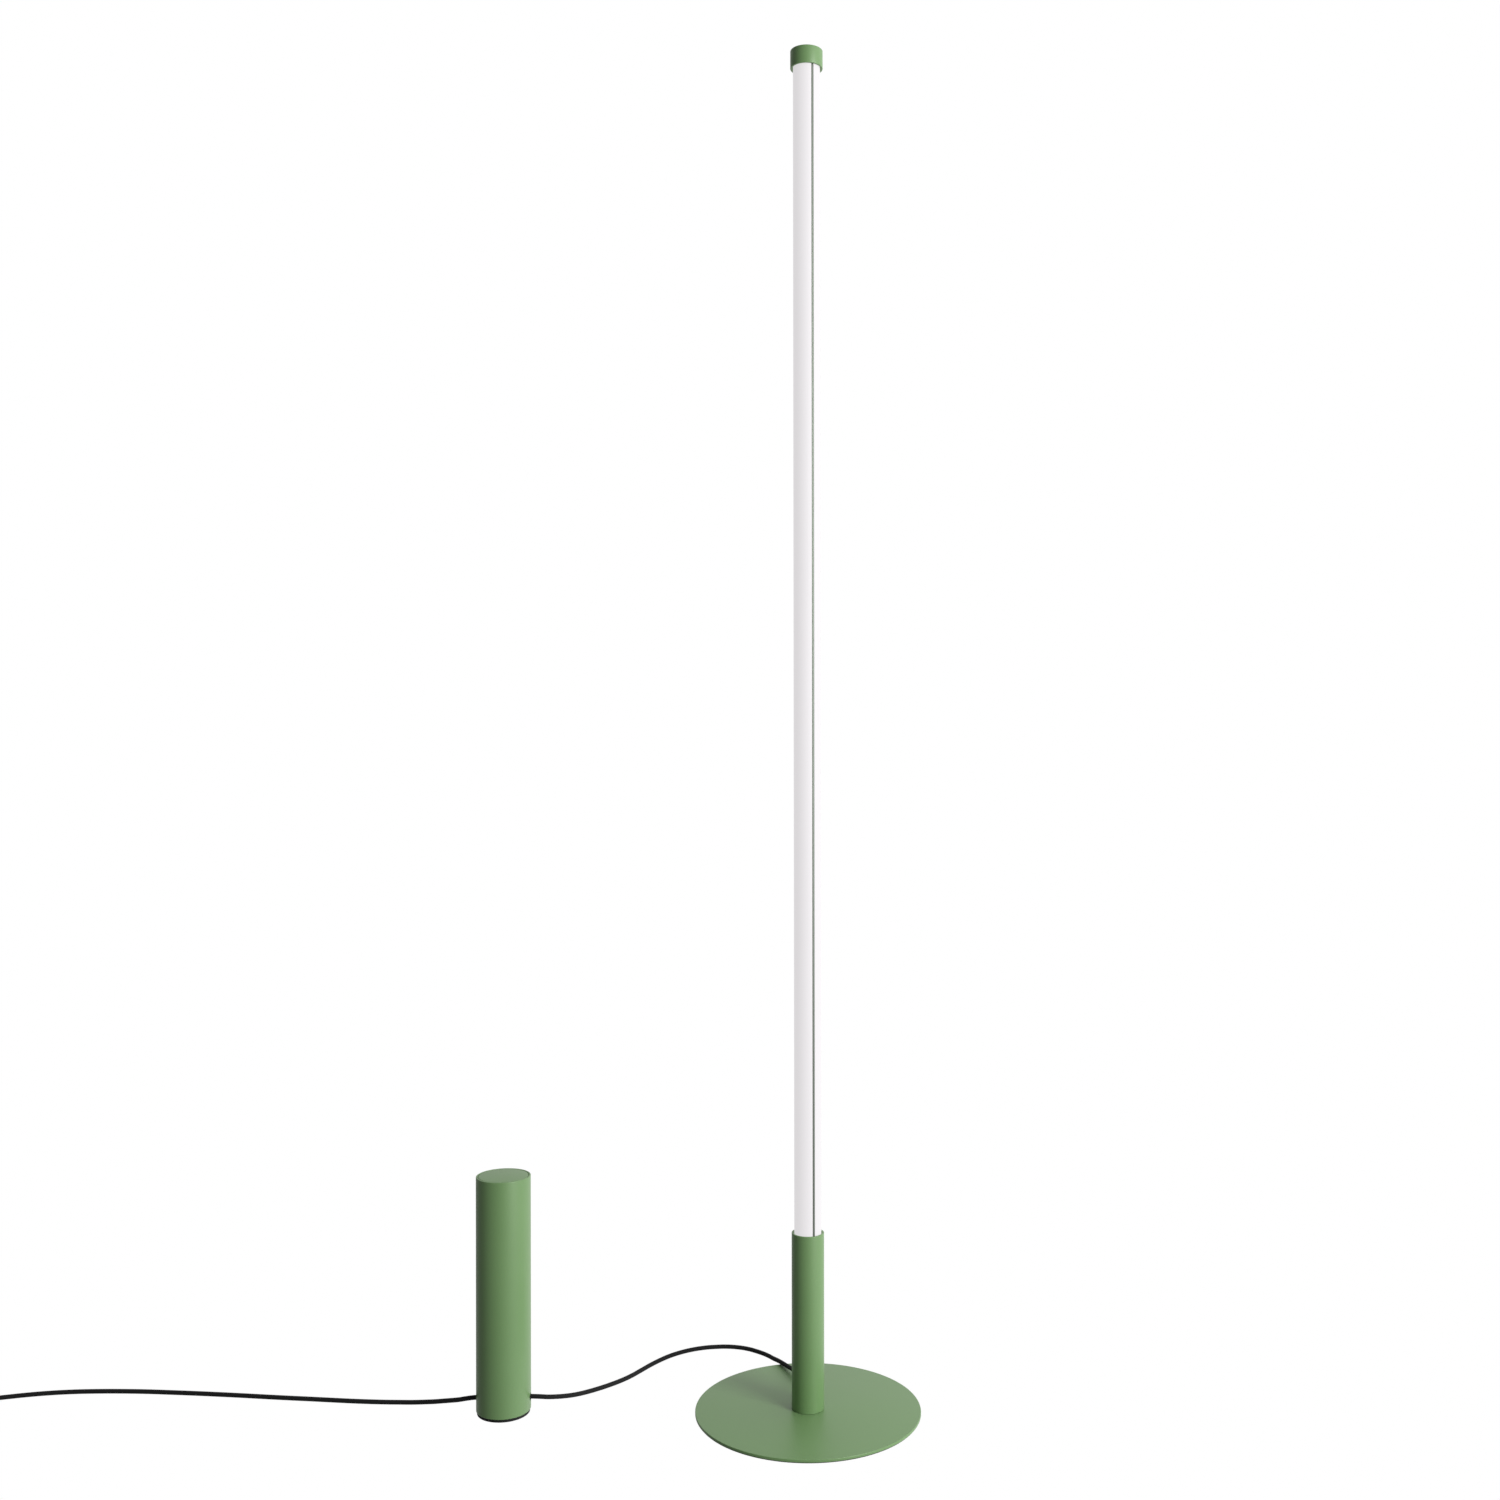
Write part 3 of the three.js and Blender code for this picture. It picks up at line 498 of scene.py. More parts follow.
def screw_hole(cad_name, head, shank, top):
    """A countersunk hole up from a screw's head, with its two radii, as a piece to cut with."""
    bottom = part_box(cad_name)[0].z
    return turned("hole", [
        (0, bottom - mm), (head, bottom - mm), (head, bottom), (shank, bottom + head - shank), (shank, top),
        (0, top)], segments=32, centre=middle(cad_name))


# Sage green polyester powder: dry pigment under a thin resin skin, so the colour is deep in shade and greys
# over where the skin catches light. Orange peel is about 1.5 mm from crest to crest.
powder, place = blank("sage_powder_coat_on_steel")
peel = node(powder, "ShaderNodeTexNoise", {"Vector": place, "Scale": 1 / (1.5 * mm), "Detail": 2})
cloud = node(powder, "ShaderNodeTexNoise", {"Vector": place, "Scale": 1 / (45 * mm), "Detail": 3})
fleck = node(powder, "ShaderNodeTexNoise", {"Vector": place, "Scale": 1 / (0.8 * mm), "Detail": 1})
green = node(powder, "ShaderNodeMixRGB", {
    "Fac": cloud.outputs["Fac"], "Color1": linear("#668756"), "Color2": linear("#6A8B5A")})
flecked = node(powder, "ShaderNodeMixRGB", {
    "Fac": 0.04, "Color1": green.outputs["Color"], "Color2": fleck.outputs["Color"]}, blend_type="OVERLAY")
gloss = node(powder, "ShaderNodeMapRange", {"Value": cloud.outputs["Fac"], "To Min": 0.38, "To Max": 0.45})
relief = node(powder, "ShaderNodeBump", {
    "Height": peel.outputs["Fac"], "Strength": 0.25, "Distance": 0.04 * mm})
surface(powder, {
    "Base Color": flecked.outputs["Color"], "Roughness": gloss.outputs["Result"], "IOR": 1.54,
    "Normal": relief.outputs["Normal"]})

low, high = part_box("base_plate")
base_plate = turned("weight_plate", rounded([
    (0, low.z), (high.x, low.z, 0.3 * mm), (high.x, high.z, 0.6 * mm), (0, high.z)]), segments=256)
combine(base_plate, [
    screw_hole(f"base_screw_{number}", 4.3 * mm, 2.3 * mm, high.z + mm) for number in (1, 2, 3)])
base_plate.data.materials.append(powder)
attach(base_plate, "lamp_base")
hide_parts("base_plate")


# ---- Screws ----
# Countersunk socket screws in zinc-plated steel: three M4 up through the base plate, three M3 up through the
# column's foot, and four M2 into the light tube's spine, two at each end.

# Zinc plate: bright and a little clouded, with a blue and a straw tint some 3 mm across.
zinc, place = blank("zinc_plated_steel")
film = node(zinc, "ShaderNodeTexNoise", {"Vector": place, "Scale": 1 / (3 * mm), "Detail": 3})
tint = node(zinc, "ShaderNodeMixRGB", {
    "Fac": film.outputs["Fac"], "Color1": linear("#B9BEC6"), "Color2": linear("#C9C6BC")})
dulling = node(zinc, "ShaderNodeMapRange", {"Value": film.outputs["Fac"], "To Min": 0.26, "To Max": 0.44})
surface(zinc, {"Base Color": tint.outputs["Color"], "Metallic": 1, "Roughness": dulling.outputs["Result"]})


def arc(x, y, radius, start, end, steps):
    """Points round an arc, from one angle to another in degrees."""
    angles = [math.radians(start + (end - start) * k / steps) for k in range(steps + 1)]
    return [(x + radius * math.cos(a), y + radius * math.sin(a)) for a in angles]


def socket_screw(name, cad_name, body, head_up=False):
    """A countersunk screw with a hexagon socket in the place of its CAD node."""
    low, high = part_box(cad_name)
    length = high.z - low.z
    head = (high.x - low.x) / 2
    shank = head / 2
    thread_pitch = 0.35 * shank
    thread_root = 0.84 * shank
    point = 0.8 * shank
    socket_depth = 0.62 * shank
    socket_radius = 1.2 * socket_depth
    edge = 0.1 * mm
    profile = [(0, 0), (head - edge, 0), (head, edge), (shank, head - shank)]
    threads = int((length - head + shank - thread_pitch) / thread_pitch)
    for thread in range(threads):
        crest = head - shank + thread_pitch * (thread + 0.5)
        profile += [(shank, crest), (thread_root, crest + thread_pitch / 2)]
    profile += [(point, length), (0, length)]
    made = turned(name, profile, segments=32)
    combine(made, [outline_piece("socket", [arc(0, 0, socket_radius, 0, 300, 5)], -mm, socket_depth)])
    flip = Matrix.Rotation(math.pi, 4, "X") if head_up else Matrix()
    x, y = middle(cad_name)
    move(made, Matrix.Translation((x, y, high.z if head_up else low.z)) @ flip)
    made.data.materials.append(zinc)
    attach(made, body)
    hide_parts(cad_name)


for number in (1, 2, 3):
    socket_screw(f"base_fixing_{number}", f"base_screw_{number}", "lamp_base")
    socket_screw(f"foot_fixing_{number}", f"foot_screw_{number}", "lamp_base")
for number in (1, 2):
    socket_screw(f"lower_fixing_{number}", f"lower_screw_{number}", "light_tube")
    socket_screw(f"upper_fixing_{number}", f"upper_screw_{number}", "light_tube", head_up=True)


# ---- Post ----
# Round steel tube, 36 mm across with a 2 mm wall, its ends turned true and eased, powder coated with the
# plate. A hole at the back of its foot lets the lead out.
def cord_hole(inner, outer, matrix):
    """A round hole for a cord through a tube's wall, as a piece to cut with."""
    radius = 4.2 * mm
    hole = turned("hole", [(0, inner), (radius, inner), (radius, outer), (0, outer)], segments=40)
    move(hole, matrix)
    return hole


low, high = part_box("post_tube")
post_radius = high.x
wall = 2 * mm
cord_height = 25 * mm
post = turned("post", rounded([
    (post_radius - wall, low.z, 0.2 * mm), (post_radius, low.z, 0.3 * mm), (post_radius, high.z, 0.5 * mm),
    (post_radius - wall, high.z, 0.4 * mm)]), segments=128)
to_the_back = Matrix.Translation((0, 0, cord_height)) @ Matrix.Rotation(math.radians(-90), 4, "X")
combine(post, [cord_hole(10 * mm, 25 * mm, to_the_back)])
post.data.materials.append(powder)
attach(post, "lamp_base")
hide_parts("post_tube")


# ---- Bushings ----
# Soft rubber bushings that line the three cord holes. Each is pushed in from inside, where its flange holds
# it, and its outer end is flush with the painted wall.
def bushing(name, cad_name, reach, matrix):
    """A bushing about the cord, from the flange inside the wall out to reach."""
    bore = 2.75 * mm
    neck = 3.9 * mm
    flange = 5.6 * mm
    back = reach - 5.4 * mm
    front = reach - 3.1 * mm
    made = turned(name, rounded([
        (bore, back, 0.3 * mm), (flange, back, 0.4 * mm), (flange, front, 0.2 * mm), (neck, front),
        (neck, reach, 0.35 * mm), (bore, reach, 0.5 * mm)]), segments=48)
    move(made, matrix)
    made.data.materials.append(rubber)
    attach(made, "lamp_base")
    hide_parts(cad_name)


bushing("post_bushing", "post_grommet", post_radius - 0.1 * mm, to_the_back)
column_x, column_y = middle("column_tube")
column_low, column_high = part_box("column_tube")
column_radius = (column_high.x - column_low.x) / 2
to_the_sides = []
for cad_name, degrees in [("dc_grommet", 90), ("mains_grommet", -90)]:
    low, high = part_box(cad_name)
    cord_middle = Matrix.Translation((column_x, column_y, (low.z + high.z) / 2))
    to_the_sides.append(cord_middle @ Matrix.Rotation(math.radians(degrees), 4, "Y"))
    bushing(cad_name.replace("grommet", "bushing"), cad_name, column_radius - 0.1 * mm, to_the_sides[-1])


# ---- Inside the post ----
# A turned aluminium plug that the base screws pull down, the lead's nylon clamp, the inner lead, and the
# acetal collar with its friction ring and contact socket, in which the light tube turns.
def keep(material, *names):
    """Gives CAD nodes that stay as they are their material."""
    for name in names:
        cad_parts[name].material_slots[0].material = material


# Moulded nylon: a fine matt grain, about 0.4 mm, drawn at 0.7 mm.
nylon, place = blank("black_nylon_moulded")
grain = node(nylon, "ShaderNodeTexVoronoi", {"Vector": place, "Scale": 1 / (0.7 * mm)})
tone = node(nylon, "ShaderNodeMixRGB", {
    "Fac": grain.outputs["Distance"], "Color1": linear("#070808"), "Color2": linear("#0D0D0E")})
relief = node(nylon, "ShaderNodeBump", {
    "Height": grain.outputs["Distance"], "Strength": 0.4, "Distance": 0.04 * mm})
surface(nylon, {
    "Base Color": tone.outputs["Color"], "Roughness": 0.7, "IOR": 1.4, "Normal": relief.outputs["Normal"]})

# Turned aluminium: fine rings from the tool, about 0.15 mm apart, drawn 1.3 mm apart so that they show. The
# wave texture has about three rings for each 4 mm.
turned_aluminium, place = blank("aluminium_turned")
rings = node(turned_aluminium, "ShaderNodeTexWave", {
    "Vector": place, "Scale": 1 / (4 * mm), "Distortion": 0.4}, wave_type="BANDS", bands_direction="Z")
tool_marks = node(turned_aluminium, "ShaderNodeMapRange", {
    "Value": rings.outputs["Fac"], "To Min": 0.28, "To Max": 0.42})
relief = node(turned_aluminium, "ShaderNodeBump", {
    "Height": rings.outputs["Fac"], "Strength": 0.3, "Distance": 0.03 * mm})
surface(turned_aluminium, {
    "Base Color": linear("#C3C5C7"), "Metallic": 1, "Roughness": tool_marks.outputs["Result"],
    "Normal": relief.outputs["Normal"]})

keep(turned_aluminium, "post_foot_plug")
keep(nylon, "cord_clamp", "swivel_collar", "contact_socket")
keep(pvc, "inner_lead")
keep(rubber, "friction_ring")


# ---- Spine ----
# An aluminium extrusion that runs the light tube's whole length: a flat web with two screw ports, whose
# edges show as a fine line down the tube's front and back. It is anodised, and its colour is drawn dark
# grey-green,
# far darker than bare metal: painted shade for the seam between the shells, which also keeps it from
# catching the key light.
spine_turn = Matrix.Rotation(math.radians(26.5 - 90), 4, "Z")
tube_radius = 15 * mm
web_half = 1.1 * mm
web_corner = 0.15 * mm
port_offset = 10.6 * mm
port_radius = 2.4 * mm
port_bore = 1.35 * mm
low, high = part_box("light_spine")
tube_bottom, tube_top = low.z, high.z

# Anodised aluminium: satin, with the die's lines along its length, about 0.2 mm apart. Its dark grey-green
# base colour is partly painted shade.
anodised, place = blank("anodised_aluminium_painted_seam_shade")
along = node(anodised, "ShaderNodeMapping", {"Vector": place, "Scale": (1, 1, 0.01)})
die_lines = node(anodised, "ShaderNodeTexNoise", {
    "Vector": along.outputs["Vector"], "Scale": 1 / (0.2 * mm), "Detail": 2})
satin = node(anodised, "ShaderNodeMapRange", {
    "Value": die_lines.outputs["Fac"], "To Min": 0.5, "To Max": 0.62})
relief = node(anodised, "ShaderNodeBump", {
    "Height": die_lines.outputs["Fac"], "Strength": 0.3, "Distance": 0.02 * mm})
surface(anodised, {
    "Base Color": linear("#666C64"), "Metallic": 1, "Roughness": satin.outputs["Result"],
    "Normal": relief.outputs["Normal"]})

meet = math.degrees(math.asin(web_half / port_radius))
web_edge = tube_radius - 0.06 * mm
spine_outline = rounded([
    (web_edge, -web_half, web_corner), (web_edge, web_half, web_corner),
    *arc(port_offset, 0, port_radius, meet, 180 - meet, 12),
    *arc(-port_offset, 0, port_radius, meet, 180 - meet, 12),
    (-web_edge, web_half, web_corner), (-web_edge, -web_half, web_corner),
    *arc(-port_offset, 0, port_radius, 180 + meet, 360 - meet, 12),
    *arc(port_offset, 0, port_radius, 180 + meet, 360 - meet, 12)], steps=3)
ports = [arc(x, 0, port_bore, 0, 350, 35) for x in (-port_offset, port_offset)]
spine = outline_piece("spine_extrusion", [spine_outline, *ports], tube_bottom, tube_top)
move(spine, spine_turn)
spine.data.materials.append(anodised)
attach(spine, "light_tube")
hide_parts("light_spine")


# ---- Half shells ----
# Two half shells of opal acrylic, extruded 1.5 mm thick, snap over the spine. They carry a painted glow, an
# even emission that lights their shaded side in place of light scattered through the wall, so the shells
# look softly lit from within even in shade.

# Opal acrylic from a matt die: a grey body under a clear skin, both dull, so that highlights spread widely;
# the painted glow brings the grey up to milky white.
# Faint draw lines about 1.2 mm apart run along it.
opal, place = blank("opal_acrylic_extruded")
along = node(opal, "ShaderNodeMapping", {"Vector": place, "Scale": (1, 1, 0.02)})
draw_lines = node(opal, "ShaderNodeTexNoise", {
    "Vector": along.outputs["Vector"], "Scale": 1 / (1.2 * mm), "Detail": 2})
body_grey = node(opal, "ShaderNodeMixRGB", {
    "Fac": draw_lines.outputs["Fac"], "Color1": linear("#6A686A"), "Color2": linear("#6F6D6F")})
relief = node(opal, "ShaderNodeBump", {
    "Height": draw_lines.outputs["Fac"], "Strength": 0.12, "Distance": 0.02 * mm})
# The emission is painted light: an even glow that brightens the grey body, most visibly on its shaded side.
surface(opal, {
    "Base Color": body_grey.outputs["Color"], "Roughness": 0.8, "IOR": 1.49, "Normal": relief.outputs["Normal"],
    "Coat Weight": 1, "Coat Roughness": 0.7, "Coat IOR": 1.5, "Emission Color": linear("#FBF8FA"),
    "Emission Strength": 0.7})

seam = web_half + 0.3 * mm
lip = 0.25 * mm
inner_radius = tube_radius - 1.5 * mm
outer_start = math.degrees(math.asin(seam / tube_radius))
inner_start = math.degrees(math.asin(seam / inner_radius))
outer_arc = arc(0, 0, tube_radius, outer_start, 180 - outer_start, 64)
inner_arc = arc(0, 0, inner_radius, 180 - inner_start, inner_start, 64)
for shell_arc in (outer_arc, inner_arc):
    shell_arc[0] += (lip,)
    shell_arc[-1] += (lip,)
shell_outline = rounded(outer_arc + inner_arc, steps=3)
for side, half_turn in [("right", 0), ("left", 180)]:
    shell = outline_piece(f"opal_shell_{side}", [shell_outline], tube_bottom, tube_top)
    move(shell, spine_turn @ Matrix.Rotation(math.radians(half_turn), 4, "Z"))
    shell.data.materials.append(opal)
    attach(shell, "light_tube")
    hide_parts(f"diffuser_{side}")


# ---- LED boards ----
# A long narrow aluminium-backed board lies on each side of the web, under white solder mask. Small LED
# packages stand along it every 10 mm, each a white frame round a yellow phosphor window.

# Solder mask: smooth and satin, with faint lines where the tracks under it run along the board.
mask, place = blank("white_solder_mask")
tracks = node(mask, "ShaderNodeTexBrick", {
    "Vector": place, "Scale": 1 / (10 * mm), "Mortar Size": 0.03, "Color1": linear("#ECECE6"),
    "Color2": linear("#E8E9E4"), "Mortar": linear("#D9DAD2")})
surface(mask, {"Base Color": tracks.outputs["Color"], "Roughness": 0.38, "IOR": 1.5})

# Moulded resin: warm white and satin, with a fine speck.
frame_resin, place = blank("white_resin_moulded")
speck = node(frame_resin, "ShaderNodeTexNoise", {"Vector": place, "Scale": 1 / (0.3 * mm), "Detail": 2})
tone = node(frame_resin, "ShaderNodeMixRGB", {
    "Fac": speck.outputs["Fac"], "Color1": linear("#E9E7DF"), "Color2": linear("#F2F0EA")})
surface(frame_resin, {"Base Color": tone.outputs["Color"], "Roughness": 0.45, "IOR": 1.52})

# Phosphor grains in silicone: yellow, and glossier than the frame.
phosphor, place = blank("yellow_phosphor_in_silicone")
grains = node(phosphor, "ShaderNodeTexNoise", {"Vector": place, "Scale": 1 / (0.2 * mm), "Detail": 2})
tone = node(phosphor, "ShaderNodeMixRGB", {
    "Fac": grains.outputs["Fac"], "Color1": linear("#D9C13E"), "Color2": linear("#E8D45C")})
surface(phosphor, {"Base Color": tone.outputs["Color"], "Roughness": 0.3, "IOR": 1.41})

board_low, board_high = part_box("led_strip_right")
board_half = 6 * mm
board_corner = 0.1 * mm
board_back = seam
board_front = board_back + mm
led_pitch = 10 * mm
led_corner = 0.2 * mm
led_count = int((board_high.z - board_low.z) / led_pitch)
lay_flat = Matrix.Rotation(math.radians(-90), 4, "X")
for side, half_turn in [("right", 0), ("left", 180)]:
    into_place = spine_turn @ Matrix.Rotation(math.radians(half_turn), 4, "Z")
    strip = outline_piece(f"led_board_{side}", [rounded([
        (-board_half, board_back), (board_half, board_back, board_corner),
        (board_half, board_front, board_corner), (-board_half, board_front, board_corner),
    ])], board_low.z, board_high.z)
    move(strip, into_place)
    strip.data.materials.append(mask)
    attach(strip, "light_tube")
    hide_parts(f"led_strip_{side}")
    first = Matrix.Translation((0, board_front, board_low.z + led_pitch / 2))
    for part, half_width, half_height, depth, finish in [
            ("frame", 1.4 * mm, 1.75 * mm, 0.7 * mm, frame_resin),
            ("window", 1.05 * mm, 1.4 * mm, 0.76 * mm, phosphor)]:
        outline = rounded([
            (-half_width, -half_height, led_corner), (half_width, -half_height, led_corner),
            (half_width, half_height, led_corner), (-half_width, half_height, led_corner)], steps=3)
        package = outline_piece(f"led_{part}s_{side}", [outline], 0, depth, ease=0.05 * mm)
        move(package, into_place @ first @ lay_flat)
        row = package.modifiers.new("row", "ARRAY")
        row.use_relative_offset = False
        row.use_constant_offset = True
        row.constant_offset_displace = (0, 0, led_pitch)
        row.count = led_count
        package.data.materials.append(finish)
        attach(package, "light_tube")


# ---- Tube ends ----
# Moulded nylon holders close the tube's two ends and are screwed into the spine. The lower one ends in the
# spigot that turns in the collar, with a turned brass plug that brings the current up to the boards.

# Turned brass: warm and bright, with fine rings from the tool, drawn 0.9 mm apart so that they show.
brass, place = blank("brass_turned")
bands = node(brass, "ShaderNodeTexWave", {
    "Vector": place, "Scale": 1 / (3 * mm), "Distortion": 0.3}, wave_type="BANDS", bands_direction="Z")
lathe_marks = node(brass, "ShaderNodeMapRange", {
    "Value": bands.outputs["Fac"], "To Min": 0.2, "To Max": 0.34})
surface(brass, {"Base Color": linear("#D8B26A"), "Metallic": 1, "Roughness": lathe_marks.outputs["Result"]})

keep(nylon, "lower_holder", "upper_holder")
keep(brass, "tube_plug")


# ---- Cap ----
# A cup turned from steel bar and powder coated with the post. It pushes down over the upper holder, and a
# rubber ring in the holder's groove holds it there.
low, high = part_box("cap_ring")
hexagon_width = 1.15  # the CAD ring's section is a hexagon, that much wider than it is high
ring_section = (high.z - low.z) / 2 * hexagon_width
cap_ring = turned("cap_o_ring", arc(
    high.x - ring_section, (low.z + high.z) / 2, ring_section, 0, 345, 23), segments=96)
cap_ring.data.materials.append(rubber)
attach(cap_ring, "light_tube")
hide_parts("cap_ring")

low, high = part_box("top_cap")
cap_radius = post_radius
cap_bore = cap_radius - wall
cap_ceiling = high.z - 2.5 * mm
cap = turned("end_cap", rounded([
    (0, cap_ceiling), (cap_bore, cap_ceiling, 0.8 * mm), (cap_bore, low.z, 0.3 * mm),
    (cap_radius, low.z, 0.4 * mm), (cap_radius, high.z, 0.5 * mm), (0, high.z)]), segments=128)
cap.data.materials.append(powder)
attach(cap, "light_tube")
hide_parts("top_cap")


# ---- Driver column ----
# Round steel tube, 60 mm across with a 2 mm wall, powder coated like the lamp. Its top edge is eased, and
# its bottom edge stands a hair above the foot. One hole on each side lets a cord through.
column_bore = column_radius - wall
column = turned("column_housing", rounded([
    (column_bore, column_low.z, 0.2 * mm), (column_radius, column_low.z, 0.6 * mm),
    (column_radius, column_high.z, 0.6 * mm), (column_bore, column_high.z, 0.3 * mm)]), segments=144)
column_axis = Matrix.Translation((column_x, column_y, 0))
move(column, column_axis)
combine(column, [cord_hole(20 * mm, 40 * mm, matrix) for matrix in to_the_sides])
column.data.materials.append(powder)
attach(column, "lamp_base")
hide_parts("column_tube")


# ---- Column foot ----
# A moulded nylon foot, pushed up into the column and set in from its wall, with three bosses that carry the
# chassis. Its underside has a shallow dish, so that it stands on its rim.
low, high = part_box("column_foot")
foot_gap = 0.3 * mm
foot_radius = (high.x - low.x) / 2
foot_top = column_low.z - foot_gap
dish_depth = 0.5 * mm
dish_radius = 15 * mm
spigot_radius = column_bore - foot_gap
spigot_top = 9 * mm
foot = turned("foot_moulding", rounded([
    (0, dish_depth), (dish_radius, dish_depth, 0.3 * mm), (dish_radius + 0.5 * mm, 0, 0.2 * mm),
    (foot_radius, 0, 0.3 * mm), (foot_radius, foot_top, 0.2 * mm), (spigot_radius, foot_top),
    (spigot_radius, spigot_top, 0.5 * mm), (0, spigot_top)]), segments=128)
move(foot, column_axis)
boss_bottom = 5 * mm
boss_radius = 4 * mm
foot_screws = [f"foot_screw_{number}" for number in (1, 2, 3)]
combine(foot, [turned("boss", [
    (0, boss_bottom), (boss_radius, boss_bottom), (boss_radius, high.z), (0, high.z),
], segments=32, centre=middle(name)) for name in foot_screws], "UNION")
combine(foot, [screw_hole(name, 3.3 * mm, 1.8 * mm, high.z + mm) for name in foot_screws])
foot.data.materials.append(nylon)
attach(foot, "lamp_base")
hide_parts("column_foot")


# ---- Driver ----
# A pressed aluminium chassis carries the driver's board upright in the column: green FR4 with a ferrite
# transformer and choke, a capacitor in its sleeve, and a terminal block for each cord.

# Pressed aluminium sheet: pale and satin, with the mill's lines 0.5 mm apart running up it.
pressed, place = blank("aluminium_pressed")
rolling = node(pressed, "ShaderNodeMapping", {"Vector": place, "Scale": (1, 1, 0.02)})
mill_lines = node(pressed, "ShaderNodeTexNoise", {
    "Vector": rolling.outputs["Vector"], "Scale": 1 / (0.5 * mm), "Detail": 3})
sheen = node(pressed, "ShaderNodeMapRange", {
    "Value": mill_lines.outputs["Fac"], "To Min": 0.3, "To Max": 0.48})
surface(pressed, {"Base Color": linear("#BFC1C2"), "Metallic": 1, "Roughness": sheen.outputs["Result"]})

# Glass-filled epoxy under green mask: glossy, with paler edges to its tracks and a weave drawn at 0.8 mm.
fr4, place = blank("green_fr4_board")
tracks = node(fr4, "ShaderNodeTexBrick", {
    "Vector": place, "Scale": 1 / (12 * mm), "Mortar Size": 0.05, "Color1": linear("#24573A"),
    "Color2": linear("#1F4E34"), "Mortar": linear("#3A7550")})
weave = node(fr4, "ShaderNodeTexChecker", {"Vector": place, "Scale": 1 / (0.8 * mm)})
relief = node(fr4, "ShaderNodeBump", {
    "Height": weave.outputs["Fac"], "Strength": 0.15, "Distance": 0.02 * mm})
surface(fr4, {
    "Base Color": tracks.outputs["Color"], "Roughness": 0.34, "IOR": 1.52,
    "Normal": relief.outputs["Normal"]})

# Sintered ferrite: dark, dull and grainy, like fired clay, with its grain drawn at 0.6 mm.
ferrite, place = blank("ferrite_sintered")
sinter = node(ferrite, "ShaderNodeTexNoise", {"Vector": place, "Scale": 1 / (0.6 * mm), "Detail": 5})
tone = node(ferrite, "ShaderNodeMixRGB", {
    "Fac": sinter.outputs["Fac"], "Color1": linear("#2B2725"), "Color2": linear("#443D39")})
relief = node(ferrite, "ShaderNodeBump", {
    "Height": sinter.outputs["Fac"], "Strength": 0.5, "Distance": 0.05 * mm})
surface(ferrite, {
    "Base Color": tone.outputs["Color"], "Roughness": 0.7, "IOR": 1.6, "Normal": relief.outputs["Normal"]})

keep(pressed, "chassis")
keep(fr4, "driver_board", "dimmer_board")
keep(ferrite, "transformer", "choke")
keep(nylon, "capacitor", "dc_terminal", "mains_terminal", "dc_clamp", "mains_clamp")
keep(pvc, "dc_wires", "mains_wires")


# ---- Dimmer ----
# The column's top is one large button: a powder-coated steel disc that slides in a nylon guide, rides on a
# coil spring and presses a small switch under its middle. A fine seam parts it from the column's wall.
keep(nylon, "tact_switch", "button_guide")

low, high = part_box("dimmer_button")
button_radius = (high.x - low.x) / 2
button_under = high.z - 4 * mm
stud_radius = 3 * mm
stud_end = low.z + 4.3 * mm
skirt_inner = 24.2 * mm
skirt_outer = 25.7 * mm
button = turned("button_disc", rounded([
    (0, stud_end), (stud_radius, stud_end, 0.4 * mm), (stud_radius, button_under, 0.4 * mm),
    (skirt_inner, button_under, 0.4 * mm), (skirt_inner, low.z, 0.3 * mm), (skirt_outer, low.z, 0.3 * mm),
    (skirt_outer, button_under, 0.3 * mm), (button_radius, button_under, 0.3 * mm),
    (button_radius, high.z, 0.6 * mm), (0, high.z)]), segments=144)
move(button, column_axis)
button.data.materials.append(powder)
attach(button, "dimmer_button")
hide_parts("dimmer_button")

# Spring steel wire, drawn, with a thin film of oil: bright, with fine draw marks.
spring_steel, place = blank("spring_steel_drawn")
draw_marks = node(spring_steel, "ShaderNodeTexNoise", {
    "Vector": place, "Scale": 1 / (0.4 * mm), "Detail": 3})
sheen = node(spring_steel, "ShaderNodeMapRange", {
    "Value": draw_marks.outputs["Fac"], "To Min": 0.2, "To Max": 0.36})
surface(spring_steel, {"Base Color": linear("#9EA0A2"), "Metallic": 1, "Roughness": sheen.outputs["Result"]})

low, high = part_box("button_spring")
spring_height = high.z - low.z
wire = 0.6 * mm
spring_radius = (high.x - low.x) / 2 - wire
turn_steps = 24
spring_steps = 4 * turn_steps
helix = []
for step in range(spring_steps + 1):
    angle = 2 * math.pi * step / turn_steps
    rise = (spring_height - 2 * wire) * step / spring_steps
    helix.append((
        column_x + spring_radius * math.cos(angle), column_y + spring_radius * math.sin(angle),
        low.z + wire + rise))
wound = laid_cord("wound_wire", helix, wire, spring_steel)
spring_mesh = bpy.data.meshes.new_from_object(wound)
bpy.data.objects.remove(wound)
spring = clean_piece("return_spring", spring_mesh)
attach(spring, "lamp_base")
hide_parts("button_spring")
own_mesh(spring)


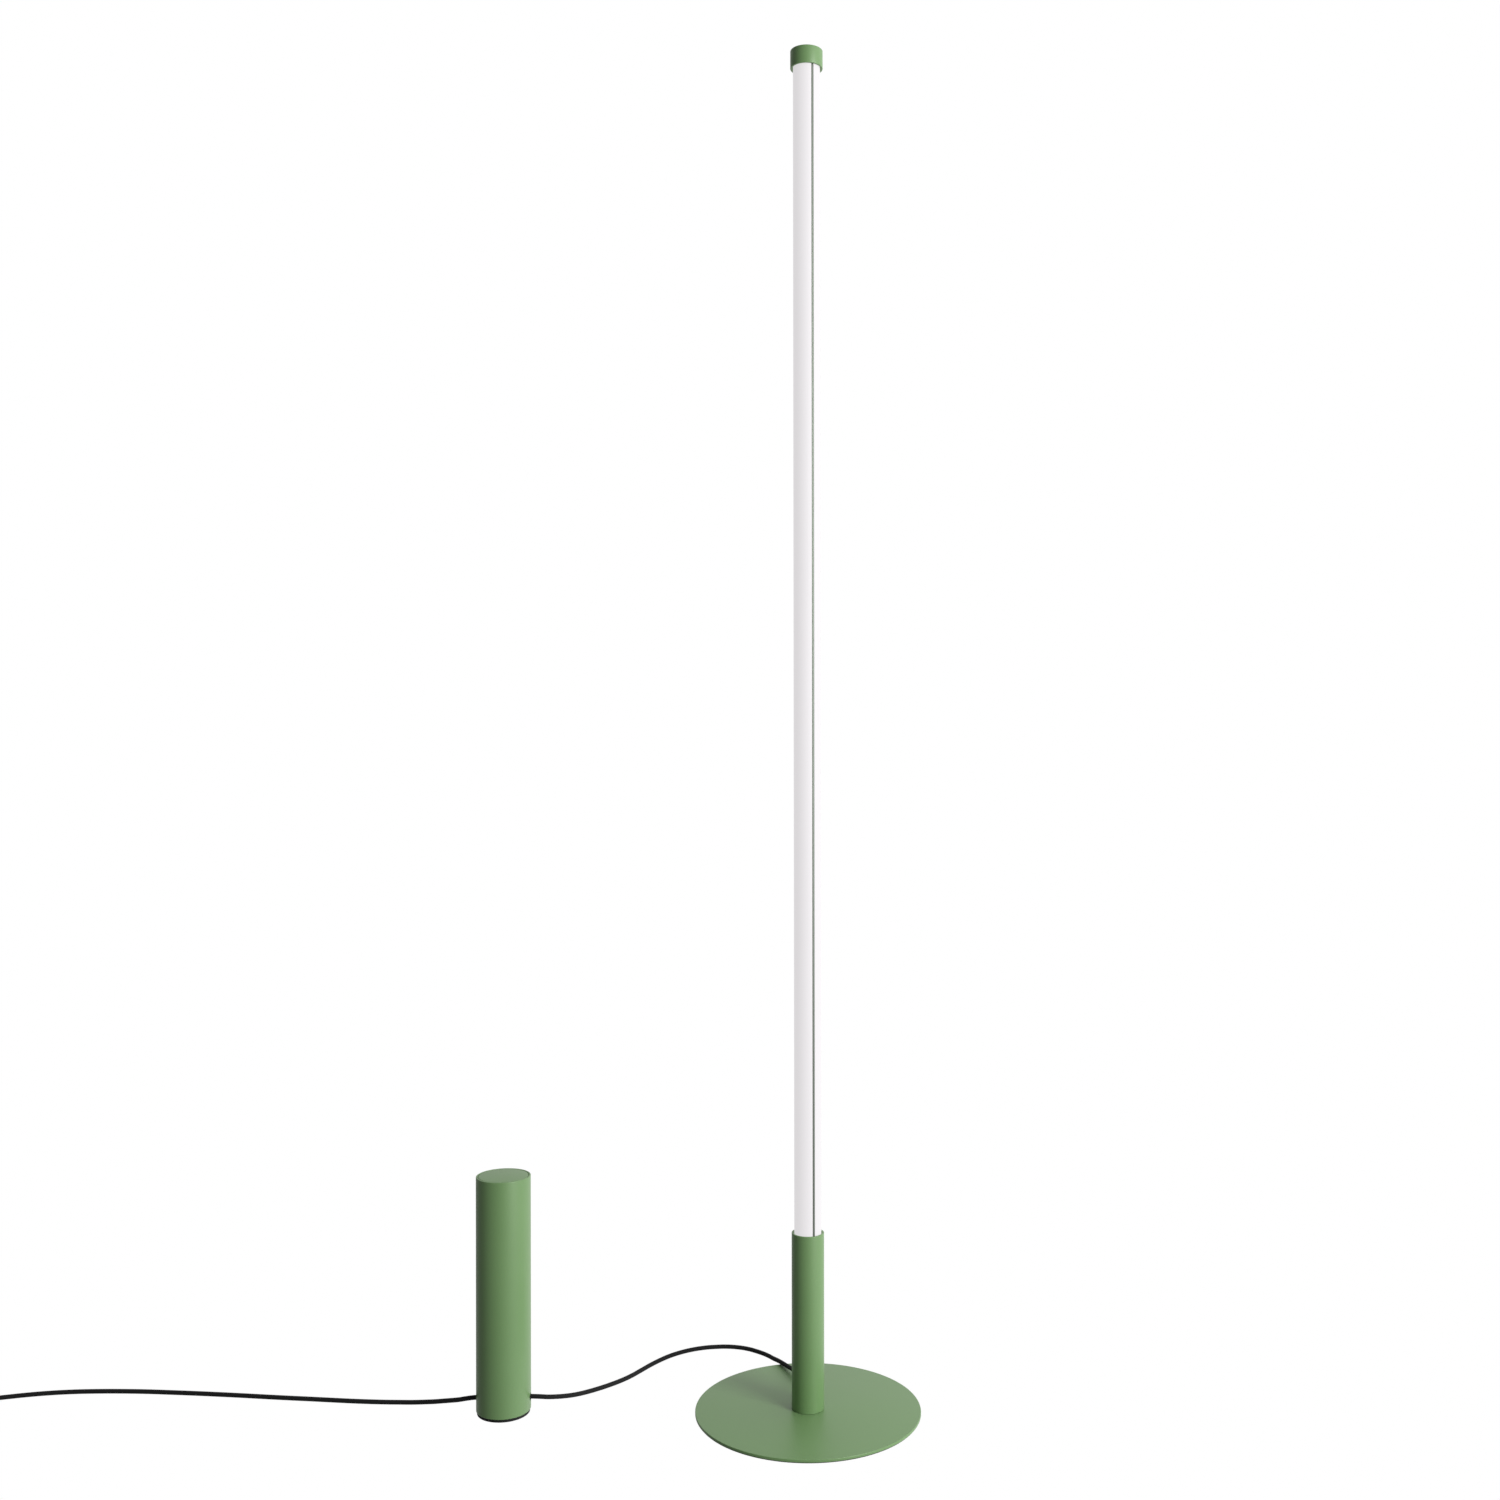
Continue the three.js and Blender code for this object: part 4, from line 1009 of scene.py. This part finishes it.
# ---- Room ----
# A white table top lit from within, so that it shows no shadow, one large soft key light from the front
# right, and plain walls: pale behind the lamp and on its right, dim in front of it and on its left.
table_top, place = blank("lit_white_table")
glow = node(table_top, "ShaderNodeEmission", {"Color": (1, 1, 1, 1), "Strength": 1})
nothing = node(table_top, "ShaderNodeBsdfTransparent", {})
side_seen = node(table_top, "ShaderNodeNewGeometry", {})
top_only = node(table_top, "ShaderNodeMixShader", {
    "Fac": side_seen.outputs["Backfacing"], 1: glow.outputs[0], 2: nothing.outputs[0]})
node(table_top, "ShaderNodeOutputMaterial", {"Surface": top_only.outputs[0]})
floor_mesh = bpy.data.meshes.new("floor")
floor_mesh.from_pydata([(-6, -6, 0), (6, -6, 0), (6, 12, 0), (-6, 12, 0)], [], [(0, 1, 2, 3)])
floor = bpy.data.objects.new("floor", floor_mesh)
floor.location.z = -0.2 * mm
floor.data.materials.append(table_top)
floor.visible_diffuse = False
floor.visible_glossy = False
bpy.context.scene.collection.objects.link(floor)

softbox = bpy.data.lights.new("softbox", "AREA")
softbox.shape = "RECTANGLE"
softbox.size = 1.0
softbox.size_y = 1.3
softbox.energy = 80
key_light = bpy.data.objects.new("key_light", softbox)
key_light.location = (1.91, -1.76, 1.3)
lamp_middle = Vector((0, 0, 0.7))
key_light.rotation_euler = (lamp_middle - key_light.location).to_track_quat("-Z", "Y").to_euler()
bpy.context.scene.collection.objects.link(key_light)

walls = bpy.data.worlds.new("plain_walls")
walls.use_nodes = True
walls.node_tree.nodes.clear()
ray = node(walls, "ShaderNodeLightPath", {})
toward = node(walls, "ShaderNodeTexCoord", {})
pale_side = Vector((0.8, 0.6, 0))
facing = node(walls, "ShaderNodeVectorMath", {
    0: toward.outputs["Generated"], 1: pale_side}, operation="DOT_PRODUCT")
paleness = node(walls, "ShaderNodeMapRange", {
    "Value": facing.outputs["Value"], "From Min": -0.6, "From Max": 0.9, "To Min": 0.2, "To Max": 1.12})
wall_light = node(walls, "ShaderNodeBackground", {
    "Color": (1, 1, 1, 1), "Strength": paleness.outputs["Result"]})
white = node(walls, "ShaderNodeBackground", {"Color": (1, 1, 1, 1), "Strength": 1})
both = node(walls, "ShaderNodeMixShader", {
    "Fac": ray.outputs["Is Camera Ray"], 1: wall_light.outputs[0], 2: white.outputs[0]})
node(walls, "ShaderNodeOutputWorld", {"Surface": both.outputs[0]})
bpy.context.scene.world = walls
bpy.context.scene.view_settings.view_transform = "Standard"
